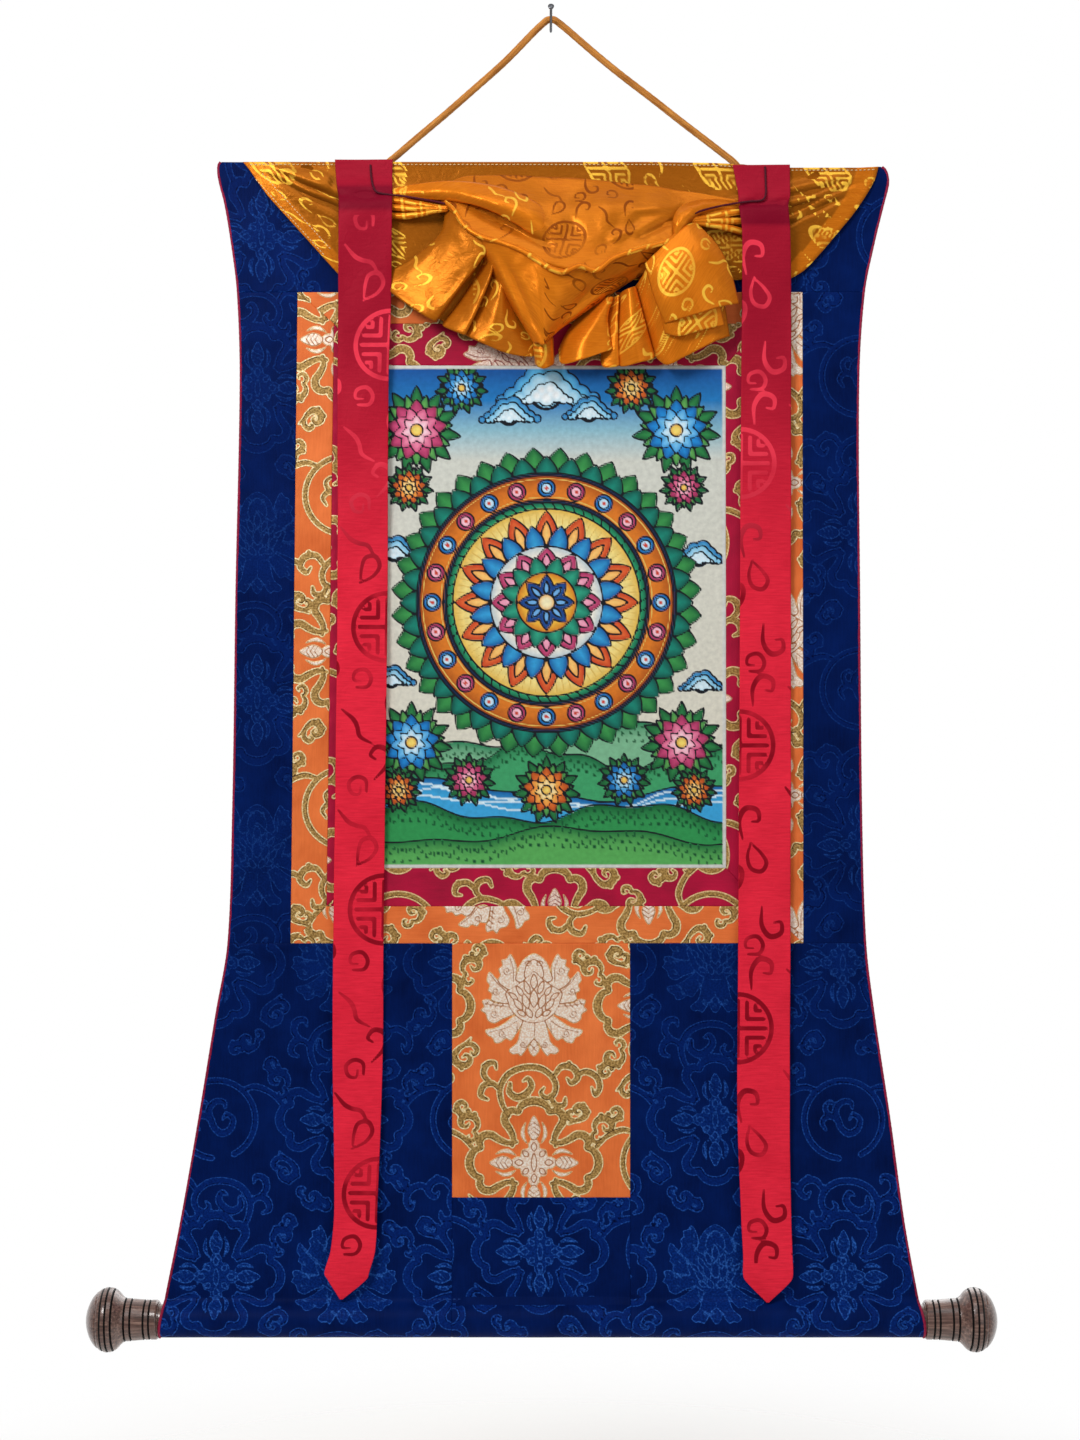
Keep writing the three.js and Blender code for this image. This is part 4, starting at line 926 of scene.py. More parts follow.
# The lotus: its petals on one side from the hindmost forward, each with a sign for its outline
LOTUS_PETALS = [
    (-1, [(0, -8), (8, -10), (11, -20), (13.5, -29), (19.8, -35), (17, -38.6), (13, -38), (10.6, -40),
          (6.8, -35.6),
          (3.6, -30), (0, -26)]),
    (1, [(8, -4), (17, -9), (24, -14), (31, -17.6), (38.6, -19.4), (36.8, -23.6), (33, -25.6), (31, -29.6),
         (26, -29), (22.4, -26), (18.4, -27.6), (14, -22), (9, -13)]),
    (-1, [(15, 1), (24, 2), (31, 2.4), (36.4, 5.2), (41.2, 4), (40, -0.6), (42.4, -3.6), (38.4, -6.6),
          (37, -11.4),
          (31.6, -14), (25, -10.6), (15, -6)]),
    (1, [(12, 10), (20, 12.4), (26.6, 18), (31, 22.6), (35.6, 27), (37.8, 20), (35.4, 16.6), (36.6, 12),
         (33.6, 9.6),
         (33.8, 4.4), (28, 2.4), (18, 2)]),
    (-1, [(8, 16), (13.6, 23), (14, 32), (18.6, 41), (22, 37.4), (25.8, 36.2), (25.2, 32), (28.4, 29),
          (26.8, 24.6),
          (28.8, 20), (24, 15), (15, 11)]),
]
LOTUS_RIBS = [
    [(13, -14), (15, -26), (19, -34)], [(13.4, -12), (22, -17.6), (36, -21.4)],
    [(20, -1), (30, 0), (39, 1.6)], [(19, 8.6), (28.4, 17), (34.8, 24.6)],
    [(16.6, 19), (16.8, 30), (19.4, 38)], [(24, 1.6), (27, -2)], [(28, 2), (31, -1.6)],
    [(32, 2.6), (35, -1)], [(36, 4), (38.4, 0.6)],
]
LOTUS_CURLS = [(21.6, 27.6, 3.6), (30.4, 11.4, 3.3), (31.6, -6.6, 3.5), (25.4, -22.4, 3.4), (8.6, -31, 2.8)]
LOTUS_CROWN = [(12.6, 19), (12.8, 28), (10, 34.6), (5.6, 39), (0, 41.6)]
LOTUS_HEART = [
    (0, 27), (5.4, 22.4), (11, 18), (16.4, 14.6), (22.4, 10.4), (20.6, 3), (18, -3.6), (12.4, -9.6),
    (6, -12.8), (0, -13.6),
]
HEART_LEAVES = [
    (0, 19, 12, 5, 0), (5.6, 14.4, 11, 4, -20), (11.2, 11.4, 10, 3.6, -34), (16.4, 7.4, 9, 3.4, -50),
    (0, 5.6, 14, 6, 0), (6.6, 3.6, 12, 5, -18), (12.6, 1, 11, 4.4, -38), (4, -5.6, 9, 4.4, -30),
    (10, -6, 7.6, 3.6, -60),
]
FRAME_ARM = [
    (16.5, 13.5, 2.2), (15.6, 20, 2.8), (18.6, 27, 3.3), (22, 32.6, 3.6), (21.2, 38.6, 3.7),
    (16.4, 41.4, 3.4), (11.8, 40.2, 2.7), (10.2, 44.4, 3.2), (5.6, 47.8, 3.7), (0, 49, 3.9),
]
CROSS_BODY = [(0, 20), (4.4, 15.4), (5, 11.6), (9, 10.6), (10.6, 9), (11.6, 5), (15.4, 4.4)]
CLOUD = [
    [(-9, -7, 1.5), (-11, -1, 2.4), (-7.4, 4.6, 3.1), (-0.6, 5.6, 3.6), (4.6, 1, 3.3), (3, -4.4, 2.6),
     (-1.6, -4.6, 1.9),
     (-3, -1, 1.4)],
    [(3, 3, 3), (8.6, 5.4, 3.1), (12.4, 10, 2.9), (9.6, 14.6, 2.5), (4.8, 13, 2), (5.6, 9.6, 1.3)],
    [(-9.4, -5, 1.8), (-13, -9.6, 2.3), (-11, -14.6, 2.2), (-6, -13.6, 1.7), (-6.6, -10.8, 1.1)],
    [(-5, 8.4, 2.6), (-4.9, 8.4, 2.6)], [(1.6, 9.4, 2.6), (1.7, 9.4, 2.6)],
    [(12.8, 5.6, 2.4), (12.9, 5.6, 2.4)],
]
HOOK = [
    [(6, -13, 1.2), (1.6, -8, 2.2), (-4, -4, 2.6), (-8, 2, 3.2), (-5, 8.4, 3.6), (2, 9.6, 3.3),
     (5.4, 4.8, 2.6),
     (2, 1.2, 1.9), (-1, 3.2, 1.3)],
    [(1, -7, 2), (7, -7.6, 2.5), (11, -3, 2.7), (8.6, 1.4, 2), (6, -1.4, 1.2)],
    [(-9.4, 7, 2.6), (-9.3, 7, 2.6)], [(-2, 12.6, 2.5), (-1.9, 12.6, 2.5)],
]
RING_CLOUD = [
    [(-14, -8, 1.5), (-17, -2, 2.2), (-12, 3, 2.8), (-5, 1, 3.1), (-2, -6, 2.9), (4, -11, 3.1), (11, -8, 2.9),
     (13.4, 0, 2.5), (8, 4, 2), (5, 0, 1.3)],
    [(-5, 1, 2.9), (-6, 8, 2.8), (-1, 14, 2.7), (6, 14, 2.2), (7, 9, 1.4)],
    [(-12, 3, 2.4), (-14.6, 10, 2.2), (-10.4, 14.4, 1.8), (-7, 12, 1.2)],
]
VINE = [
    [(-20, -88, 2), (-25.4, -78, 2.6), (-27, -66, 2.9), (-21, -55, 3), (-9, -49.4, 3), (4, -49.6, 3),
     (13, -55, 2.9),
     (17.4, -63, 2.8), (15.6, -71, 2.7), (9.4, -73.6, 2.5), (5.6, -69.4, 2.2), (8, -65.4, 1.5)],
    [(-19, -62, 2), (-19.4, -69, 3), (-13.4, -73, 3.4), (-6.6, -70.4, 3.4), (-2, -64, 3), (-4.6, -58, 2.4),
     (-8.6, -60, 1.4)],
    [(13, -72, 2.4), (17, -79, 2.8), (23.6, -79, 2.6), (25, -73.6, 1.7)],
    [(16, -56, 2.2), (22, -48.6, 2.9), (31, -49.4, 3.3), (35, -56.6, 3.1), (30, -61.8, 2.5),
     (26.4, -57.8, 1.5)],
    [(34, -55, 2.4), (42, -52.6, 3), (50, -57, 3.1), (52.4, -65, 2.8), (49, -71, 2.4), (46, -65, 1.3)],
    [(-26.4, -68, 2.1), (-33, -62, 2.7), (-40.4, -64, 3.1), (-42.4, -71.4, 2.7), (-37, -74.6, 1.7)],
    [(-34, -62.4, 2.4), (-40, -55, 2.9), (-38, -47, 3), (-31.6, -45.4, 2.4), (-30, -50.4, 1.4)],
    [(-40, -48, 2.6), (-39.9, -48, 2.6)], [(28, -46, 2.6), (28.1, -46, 2.6)],
]
# Where clouds lie about the lotus, with their turn, mirroring and size
CLOUD_PLACES = [
    (CLOUD, 44, 30, 0, True, 0.9), (HOOK, 67, 38, 20, False, 0.72), (CLOUD, -48, 33, 20, False, 0.9),
    (HOOK, -56, -38, 180, True, 0.95), (CLOUD, 62, -42, 190, False, 0.88), (HOOK, 26, 62, 90, True, 0.78),
    (CLOUD, -24, 62, 200, True, 0.78),
]


def mirrored(points):
    """A closed symmetrical outline from its right half, which starts and ends on the middle line."""
    points = np.array(points, float)
    other = points[::-1] * (-1, 1)
    return np.vstack([points, other[1:-1]]) if points[0, 0] == 0 else np.vstack([points, other[1:]])


def draw_lotus(at):
    for sign, petal in LOTUS_PETALS:
        for mirror in (False, True):
            silk.petal(turned(petal, mirror=mirror, at=at), sign)
    silk.petal(turned(mirrored(LOTUS_CROWN), at=at), 1)
    silk.petal(turned(mirrored([(6.6, 22), (7, 29), (4.6, 34), (0, 36.6)]), at=at), -1, False)
    silk.petal(turned(mirrored(LOTUS_HEART), at=at), -1)
    silk.petal(turned(leaf(0, -33.6, 13.4, 8, 0), at=at), 1)
    for hand in (1, -1):
        silk.curl(turned([(-2.6 * hand, -31), (2 * hand, -36.4)], at=at), False)
    for mirror in (False, True):
        hand = -1 if mirror else 1
        for x, y, size in LOTUS_CURLS:
            silk.curl(turned(spiral(x, y, size, 200, 1), mirror=mirror, at=at), False)
        for rib in LOTUS_RIBS:
            silk.curl(turned(rib, mirror=mirror, at=at))
        for x, y, long, wide, degrees in HEART_LEAVES:
            silk.petal(turned(leaf(hand * x, y, long, wide, hand * degrees), at=at), 1, False)
        silk.curl(turned(spiral(4.4, 33, 3, 0, 1), mirror=mirror, at=at), False)


def draw_frame(at):
    """A lobed frame round a cross of buds and feathers."""
    arm = np.array(FRAME_ARM)
    arms = np.vstack([arm, turned(arm[-2::-1], mirror=True)])
    for quarter in range(4):
        silk.stroke(turned(arms, 90 * quarter, scale=(1.05, 1), at=at))
    body = np.vstack([turned(CROSS_BODY, -90 * quarter) for quarter in range(4)])
    silk.petal(turned(body, scale=(0.95, 1), at=at), 1)
    silk.petal(turned(leaf(0, 0, 15, 4, 0), at=at), -1, False)
    bud = mirrored([(0, 37.4), (3.6, 32), (5.4, 26), (3.6, 20.6), (0, 18)])
    for quarter in range(4):
        middle = {"degrees": 90 * quarter, "scale": (0.95, 1), "at": at}
        silk.petal(turned(bud, **middle), -1)
        for level in (21.4, 25, 28.6):
            silk.curl(turned([(-4.4, level), (0, level + 3.4), (4.4, level)], **middle), False)
        silk.petal(turned(leaf(0, 12.6, 7, 4.4, 0), **middle), -1, False)
        for mirror in (False, True):
            feather = [(6.6, 32.6), (10.4, 27), (10.6, 20.6), (5.8, 15), (7.4, 20.4), (8, 26)]
            silk.petal(turned(turned(feather, mirror=mirror), **middle), 1)
        silk.petal(turned(leaf(7, 7, 6, 4, -45), **middle), -1, False)


# Where the ring lies from the lotus, how wide it is, and how much of a turn it has from its start
RING_AT = (102, -125)
RING_RADIUS = 31
RING_ARC = (-1.1, 4.6)


def draw_tile():
    """The whole repeat, with the lotus at its corner."""
    draw_lotus((0, 0))
    for at in ((0, RING_AT[1]), (RING_AT[0], 0)):
        draw_frame(at)
    for line in VINE:
        silk.stroke(line)
        silk.stroke(turned(line, mirror=True, at=RING_AT))
    # A ring of two cords with clouds in it
    ring = [(RING_RADIUS * math.cos(a), RING_RADIUS * math.sin(a), 2.6) for a in np.linspace(*RING_ARC, 24)]
    for line in [ring] + RING_CLOUD:
        silk.stroke(turned(line, at=RING_AT))
    for motif, x, y, degrees, mirror, size in CLOUD_PLACES:
        for line in motif:
            whole = turned(line, degrees, mirror, (size, size), (x, y))
            silk.stroke(whole)
            silk.stroke(turned(whole, mirror=True, at=RING_AT))
    # A stalk from the frame's side to the ring
    for mirror in (False, True):
        silk.stroke(turned([(50, -112, 2.4), (58, -104, 2.6), (70, -99, 2.8), (80, -101, 2)], mirror=mirror))


draw_tile()


def brocade_fields(x, v, phase):
    """The fields of a panel whose lotus lies at the phase's x and z. A sideways panel was cut
    across the cloth."""
    at_x, at_z, sideways = phase
    across, up = (v - at_z, -(x - at_x)) if sideways else (x - at_x, v - at_z)
    fields = {name: silk.read(name, across, up) for name in silk.fields}
    fields["flat"] = flat_field(across, up)
    fields["lit"] = np.ones_like(x)
    return fields


def pucker(x, z, margin):
    """Seam pucker and slight unevenness, in mm."""
    seam = np.exp(-margin / 6) * (np.sin(x / 2.7 + z / 3.4) + np.sin(z / 2.3 - x / 4.1 + 1))
    body = np.sin(x / 17 + z / 41) + np.sin(z / 23 - x / 58 + 2) + np.sin(x / 9 - z / 14)
    return 0.16 * seam + 0.14 * body


def damask_light(z):
    """How far the navy figure shows against its ground: faint on the upright cloth and clear
    where the foot leans out and takes the light from above."""
    return 0.15 + 0.06 * ease(z, -300, -200) + 0.36 * ease(-z, 700, 1000)


def panel(node, left, right, step, material, slot, phase, name=None):
    """A panel between two side lines, which are functions of the share of height."""
    (ax, az), (bx, bz) = left(0.0), left(1.0)
    (cx, cz), (dx, dz) = right(0.0), right(1.0)
    wide = (math.hypot(cx - ax, cz - az) + math.hypot(dx - bx, dz - bz)) / 2
    high = (math.hypot(bx - ax, bz - az) + math.hypot(dx - cx, dz - cz)) / 2
    t, s = np.meshgrid(marks(high, step), marks(wide, step), indexing="ij")
    (lx, lz), (rx, rz) = left(t), right(t)
    across = s * (1 + 2 * SEAM_LAP / wide) - SEAM_LAP / wide
    x, z = lerp(lx, rx, across), lerp(lz, rz, across)
    margin = np.minimum(np.minimum(s, 1 - s) * wide, np.minimum(t, 1 - t) * high)
    y = cloth_y(x, z) + pucker(x, z, margin)
    fields = brocade_fields(x, z, phase) if phase else painting_fields(x, z)
    if material == NAVY:
        fields["lit"] = damask_light(z)
    middle = np.stack([x, y, z], axis=-1)
    thing = cloth(node, [shell(middle, BROCADE, margin, fields)], material, name)
    corners = np.array([(ax, az), (bx, bz), (dx, dz), (cx, cz)], float)
    across, down = np.ptp(corners, axis=0) / 1000 + SEAM_ALLOWANCE


def side_line(from_x, from_z, to_x, to_z):
    """A straight side line between two corners, on past both by the seam's lap."""
    lap = SEAM_LAP / math.hypot(to_x - from_x, to_z - from_z)

    def at(t):
        down = t * (1 + 2 * lap) - lap
        return lerp(from_x, to_x, down), lerp(from_z, to_z, down)

    return at


def edge_line(edge, top, bottom):
    """A side line that follows one edge of the mounting."""

    def at(t):
        z = lerp(top + SEAM_LAP, bottom - SEAM_LAP, t)
        return edge(z), z

    return at


def corner(bound, level, hand):
    """The x and z of one of a frame's corners."""
    return bound["right"] if hand == "right" else bound[f"{level}_left"], bound[level]


def frame_side(bound, hand):
    """A frame's left or right side as a side line."""
    return side_line(*corner(bound, "top", hand), *corner(bound, "bottom", hand))


def nested(name, outside, inside, material, slot, phases, pitches):
    """The four mitred strips between two nested frames."""
    sides = {}
    for level, upper, lower in (("top", outside, inside), ("bottom", inside, outside)):
        sides[level] = [
            side_line(*corner(upper, level, hand), *corner(lower, level, hand)) for hand in ("left", "right")
        ]
    for hand, first, second in (("left", outside, inside), ("right", inside, outside)):
        sides[hand] = [frame_side(first, hand), frame_side(second, hand)]
    for side, lines in sides.items():
        panel(f"{name}_{side}", *lines, pitches[side], material, slot, phases[side])


def sleeved(node, left, right, section, start, phase):
    """A navy panel that runs on round a rod: its side section is a line of y and z, where y is
    measured from the hanging cloth."""
    line = evenly(np.array(section), 2.0)
    along = distances(line)
    wide = float(right(line[:, 1]).mean() - left(line[:, 1]).mean())
    fine = marks(along[-1], 2.0) * along[-1]
    y_line = np.interp(fine, along, line[:, 0])
    z_line = np.interp(fine, along, line[:, 1])
    share = marks(wide, 2.0)
    z, s = np.meshgrid(z_line, share, indexing="ij")
    x = lerp(left(z) - SEAM_LAP, right(z) + SEAM_LAP, s)
    far = np.meshgrid(fine, share, indexing="ij")[0]
    margin = np.minimum(np.minimum(s, 1 - s) * wide, np.minimum(far, along[-1] - far))
    y = y_line[:, None] + cloth_y(x, z) + pucker(x, z, margin)
    middle = np.stack([x, y, z], axis=-1)
    fields = brocade_fields(x, start - far, phase)
    fields["lit"] = damask_light(z)
    thing = cloth(node, [shell(middle, BROCADE - 0.1, margin, fields)], NAVY)


def on_cloth(y, z):
    """An absolute y as a distance from the hanging cloth."""
    return y - float(cloth_y(0.0, z))


heading_section = [(on_cloth(y, z), z) for y, z in (
    (HEADING_MIDDLE_Y + 2.2, -145), (-8.4, -141.5), (-8.4, -132), (-8.4, -124), (-9.4, -122.3),
    (-11.4, -121.9), (-13.4, -122.3),
)] + [(0, z) for z in (-124, -132, -150, -185, HEADING_SEAM - GAP)]
sleeved("ground_top", outline_left, outline_right, heading_section, -100.5, (-232, -58, False))


SLEEVE_RADIUS = ROLLER["radius"] + 1.1


def foot_section(top):
    """The section of a foot panel from its top down and round the roller."""
    line = [(0, top + GAP), (0, SLEEVE_SEAM + 0.4), (-2.2, SLEEVE_SEAM - 2.4)]
    for angle in np.radians(range(130, 412, 8)):
        line.append((SLEEVE_RADIUS * math.cos(angle), ROLLER["z"] + SLEEVE_RADIUS * math.sin(angle)))
    return line + [(2.6, SLEEVE_SEAM - 2.6)]


def upright(x):
    """An edge that stays at one x, as a function of z."""
    return lambda z: x + 0 * np.asarray(z)


for node, left, right, top, phase in (
    ("foot_left", outline_left, upright(DOOR_LEFT), FOOT_SEAM, (-165, -1008, False)),
    ("foot_centre", upright(DOOR_LEFT), upright(DOOR_RIGHT), DOOR_FOOT, (-8.8, -863, False)),
    ("foot_right", upright(DOOR_RIGHT), outline_right, FOOT_SEAM, (131, -1008, False)),
):
    sleeved(node, left, right, foot_section(top), top, phase)

panel(
    "ground_left", edge_line(outline_left, HEADING_SEAM, FOOT_SEAM), frame_side(OUTER_FRAME, "left"),
    1.8, NAVY, "navy_damask", (-235, -423, False),
)
panel(
    "ground_right", frame_side(OUTER_FRAME, "right"), edge_line(outline_right, HEADING_SEAM, FOOT_SEAM),
    1.8, NAVY, "navy_damask", (146, -414, False),
)
nested("border_orange", OUTER_FRAME, MIDDLE_FRAME, ORANGE, "orange_brocade", {
    "top": (-30, -215, True), "bottom": (-47, -692, True), "left": (-267.6, -259.2, False),
    "right": (183, -249, False)}, {"top": 1.4, "bottom": 1.0, "left": 1.0, "right": 1.02})
nested("border_red", MIDDLE_FRAME, INNER_FRAME, RED, "red_brocade", {
    "top": (-29, -290, True), "bottom": (3, -836, True), "left": (-108.7, -676, False),
    "right": (211.2, -297, False)}, {"top": 1.05, "bottom": 1.0, "left": 1.5, "right": 1.15})
panel(
    "door_panel", side_line(DOOR_LEFT, FOOT_SEAM, DOOR_LEFT, DOOR_FOOT),
    side_line(DOOR_RIGHT, FOOT_SEAM, DOOR_RIGHT, DOOR_FOOT),
    0.94, ORANGE, "orange_brocade", (-13.6, -792, False), "door_cloth",
)

# The picture's place: a generic wheel of petals with flowers over hills, in mineral colours

PICTURE_MIDDLE = (-3.6, -470)
PRIMED_EDGE = 2.6
# Rings of petals and plain discs from the outside in: count or 0, inner and outer radius,
# width, turn in half steps, fill, rim and the depth of the rim's shading
WHEEL = [
    (36, 98, 124, 20, 1, "#3C9A4E", "#0A5230", 9), (36, 92, 117, 19, 0, "#158A76", "#06473F", 8),
    (0, 0, 104, 0, 0, "#12325E", "#0A1C3C", 4), (0, 0, 101.5, 0, 0, "#E07C24", "#A64810", 14),
    (0, 0, 82.5, 0, 0, "#12325E", "#0A1C3C", 4), (0, 0, 80, 0, 0, "#2A9E6A", "#0A5A46", 5),
    (0, 0, 75, 0, 0, "#F6E08C", "#E6B84A", 12), (16, 42, 73, 18, 0, "#F47C40", "#C8381A", 9),
    (16, 46, 65, 8, 0, "#FFD27A", "#F09A48", 4), (16, 38, 62, 15.6, 1, "#38A8E0", "#0E4C9A", 8),
    (0, 0, 45, 0, 0, "#F1EDE0", "#B9CBD2", 8), (12, 22, 44, 18, 0, "#E2608E", "#9A1E50", 8),
    (12, 26, 39, 7, 0, "#F8B8CC", "#E27AA0", 4), (12, 18, 37, 14.4, 1, "#2FA886", "#06574A", 7),
    (0, 0, 24, 0, 0, "#F4BE42", "#D0701A", 8), (8, 3, 22, 12.6, 0, "#2460B4", "#0C2C6A", 6),
    (8, 7, 17, 4.6, 0, "#8CC8F0", "#4A90D8", 3), (0, 0, 6.6, 0, 0, "#F8ECC0", "#E4A040", 4),
]
FLOWER = [
    (11, 0.1, 1.42, 0.5, 0, "#2E8C4A", "#0A4A2C", 5), (11, 0.1, 1.16, 0.42, 1, "#6DB75C", "#1E7038", 4),
    (9, 0.1, 0.98, 0.62, 0, "rim", "deep", 6), (9, 0.1, 0.74, 0.46, 1, "fill", "rim", 5),
    (7, 0.05, 0.48, 0.36, 0, "pale", "fill", 4), (0, 0, 0.2, 0, 0, "#F8DC70", "#D88A24", 3),
]
PINK = {"pale": "#FCD8E0", "fill": "#F08CAC", "rim": "#D04C7C", "deep": "#8E1E4C"}
BLUE = {"pale": "#E0F4FC", "fill": "#7CC8F0", "rim": "#2090DC", "deep": "#0C4C98"}
GOLDEN = {"pale": "#FFF2C0", "fill": "#F8C058", "rim": "#EC7830", "deep": "#A83C14"}
FLOWERS = [
    (-104, 138, 25, PINK), (104, 138, 25, BLUE), (-110, 92, 14, GOLDEN), (110, 92, 14, PINK),
    (-68, 172, 15, BLUE), (68, 172, 15, GOLDEN), (-108, -112, 23, BLUE), (108, -112, 23, PINK),
    (-62, -142, 15, PINK), (62, -142, 15, BLUE), (-118, -150, 13, GOLDEN), (118, -150, 13, GOLDEN),
    (0, -150, 19, GOLDEN),
]
CLOUDS = [
    (0, 168, 1.5), (-30, 150, 0.9), (34, 152, 0.8), (-122, 40, 0.8), (122, 36, 0.8), (-124, -62, 0.7),
    (124, -66, 0.7),
]


def rgb(value):
    return np.array(linear(value)[:3])


class Picture:
    """Colour and line distance over a grid of places, laid on shape by shape."""

    def __init__(self, x, y):
        self.x, self.y = x, y
        self.colour = np.zeros((*x.shape, 3))
        self.ink = np.full(x.shape, FAR)
        self.gilt = np.full(x.shape, FAR)

    def lay(self, away, fill, rim=None, depth=6.0, line=True):
        """A shape by its distance, filled with a colour that turns to rim at its edge."""
        inside = away < 0
        shade = np.broadcast_to(rgb(fill), self.colour.shape)
        if rim:
            near = np.clip(1 + away / depth, 0, 1)[..., None] ** 1.4
            shade = lerp(shade, rgb(rim), near)
        self.colour = np.where(inside[..., None], shade, self.colour)
        self.gilt = np.where(inside, FAR, self.gilt)
        if line:
            self.ink = np.where(inside, -away, np.minimum(self.ink, away))
        else:
            self.ink = np.where(inside, FAR, self.ink)

    def trace(self, away):
        """A thin gilt line where a distance is nothing."""
        self.gilt = np.minimum(self.gilt, np.abs(away))

    def rings(self, rows, at=(0, 0), size=1.0, colours=None):
        """A flower of rings about a place."""
        x, y = self.x - at[0], self.y - at[1]
        radius, angle = np.hypot(x, y), np.arctan2(x, y)
        for count, inner, outer, width, turn, fill, rim, depth in rows:
            fill, rim = [(colours or {}).get(shade, shade) for shade in (fill, rim)]
            away = radius - outer * size
            if count:
                sizes = (inner * size, outer * size, width * size)
                away = petal_ring(radius, angle, count, *sizes, turn * np.pi / count)
            self.lay(away, fill, rim, depth)


def petal_ring(radius, angle, count, inner, outer, width, phase):
    """Distance to a ring of pointed petals between two radii."""
    step = 2 * np.pi / count
    off = (angle + phase + step / 2) % step - step / 2
    share = np.clip((radius - inner) / (outer - inner), 0, 1)
    half = width / 2 * np.sin(np.pi * share ** 0.8) ** 0.75
    away = np.abs(radius * np.sin(off)) - half
    return np.maximum(away * 0.82, np.maximum(inner - radius, radius - outer))


def cloud_shape(x, y, at, size):
    """Distance to a bank of round puffs."""
    away = np.full(x.shape, FAR)
    for px, py, r in (
        (0, 0, 9), (10, 3, 8), (-10, 2, 7.5), (4, 9, 8), (-5, 8, 7), (18, -1, 5.5), (-18, -2, 5),
        (25, -3, 3.6), (-24, -4, 3),
    ):
        away = np.minimum(away, np.hypot(x - at[0] - px * size, y - at[1] - py * size) - r * size)
    return away


SKY = [
    (0.0, "#D8D5C4"), (0.3, "#DEDACA"), (0.81, "#D2D4CA"), (0.87, "#8CBCCC"), (0.93, "#1E78BC"),
    (1.0, "#124E9C"),
]
# Each cloud's layers: size, drop, fill and rim
PUFFS = [(1.0, 0, "#58B0E0", "#1C6CB0"), (0.78, 1.4, "#B4E0F4", "#6CBCE4"), (0.5, 2.6, "#F4FAFC", "#BCE2F2")]
# Hills and the river from the back forward: height, swing and pitch of their line, fill and rim
HILLS = [
    (-104, 12, 34, "#7CB890", "#1E8054"), (-124, 9, 25, "#3EA068", "#0C6238"),
    (-150, 7, 42, "#3AA4DC", "#0C5CA6"), (-168, 7, 29, "#2E9450", "#0A5A30"),
    (-186, 6, 37, "#58AC58", "#16703A"),
]
RIVER = 2
STUDS = 24
STUD_RING = 91.5


def painting_fields(x, z):
    """The fields of the picture's place."""
    px, py = x - PICTURE_MIDDLE[0], z - PICTURE_MIDDLE[1]
    art = Picture(px, py)
    # Sky that pales downwards, then hills
    height = (z - INNER_FRAME["bottom"]) / (INNER_FRAME["top"] - INNER_FRAME["bottom"])
    levels = [level for level, _ in SKY]
    shades = np.array([rgb(shade) for _, shade in SKY])
    art.colour = np.stack([np.interp(height, levels, shades[:, k]) for k in range(3)], axis=-1)
    for cloud_x, cloud_z, size in CLOUDS:
        for grow, drop, fill, rim in PUFFS:
            away = cloud_shape(px, py, (cloud_x, cloud_z - drop * size), size * grow)
            art.lay(away, fill, rim, 5)
    for number, (base, swing, pitch, fill, rim) in enumerate(HILLS):
        start = 0.4 + 1.7 * number
        hill = base + swing * np.sin(px / pitch + start)
        hill += 0.4 * swing * np.sin(px / (pitch * 0.37) + 2 * start)
        art.lay((py - hill) * 0.92, fill, rim, 12)
        for row in range(1, 4):
            level = hill - 4.6 * row - 1.6 * np.sin(px / (7 + row) + 2 * row + start)
            if number == RIVER:
                art.lay(np.abs(py - level) - 0.7, "#D8F0FA", None, 2, False)
                continue
            tuft = np.abs((px / 6.4 + 0.5 * row) % 1 - 0.5) * 6.4 - 0.9 + 0.32 * (py - level)
            art.lay(np.maximum(tuft, np.abs(py - level - 0.6) - 2), "#0A4E2C", None, 2, False)
    for flower_x, flower_y, size, colours in FLOWERS:
        art.rings(FLOWER, (flower_x, flower_y), size, colours)
    # The wheel, with studs on its broad ring, a rope and a ring of rays
    art.rings(WHEEL[:6])
    radius, angle = np.hypot(px, py), np.arctan2(px, py)
    for k in range(STUDS):
        turn = 2 * np.pi * k / STUDS
        away = np.hypot(px - STUD_RING * math.sin(turn), py - STUD_RING * math.cos(turn))
        colours = (BLUE, PINK)[k % 2]
        art.lay(away - 7, colours["rim"], colours["deep"], 4)
        art.lay(away - 4.2, colours["pale"], colours["fill"], 3)
        art.lay(away - 1.6, "#D03C28", None, 2, False)
    art.trace(radius - 99)
    art.trace(radius - 84.5)
    twist = np.abs((angle * 60 / np.pi + radius * 0.2) % 2 - 1)
    art.ink = np.where((radius > 75) & (radius < 80), np.minimum(art.ink, twist * 4.4 - 0.1), art.ink)
    art.rings(WHEEL[6:7])
    rays = ((angle / np.pi * 40) % 1 - 0.5) * radius * np.pi / 40
    art.trace(np.where((radius < 58) | (radius > 73), FAR, rays))
    art.rings(WHEEL[7:])
    # The bare primed edge
    left = through(FRAME_SIDE, "z", "left", z)
    margin = np.minimum.reduce([
        x - left, INNER_FRAME["right"] - x, INNER_FRAME["top"] - z, z - INNER_FRAME["bottom"],
    ])
    edge = margin < PRIMED_EDGE
    art.colour = np.where(edge[..., None], rgb("#D6D6D0"), art.colour)
    art.ink = np.where(edge, np.minimum(FAR, PRIMED_EDGE - margin + 0.8), art.ink)
    art.gilt = np.where(edge, FAR, art.gilt)
    paint = np.concatenate([art.colour, np.ones((*x.shape, 1))], axis=-1)
    return {"paint": paint, "ink": art.ink, "gilt": art.gilt, "flat": flat_field(px, py)}


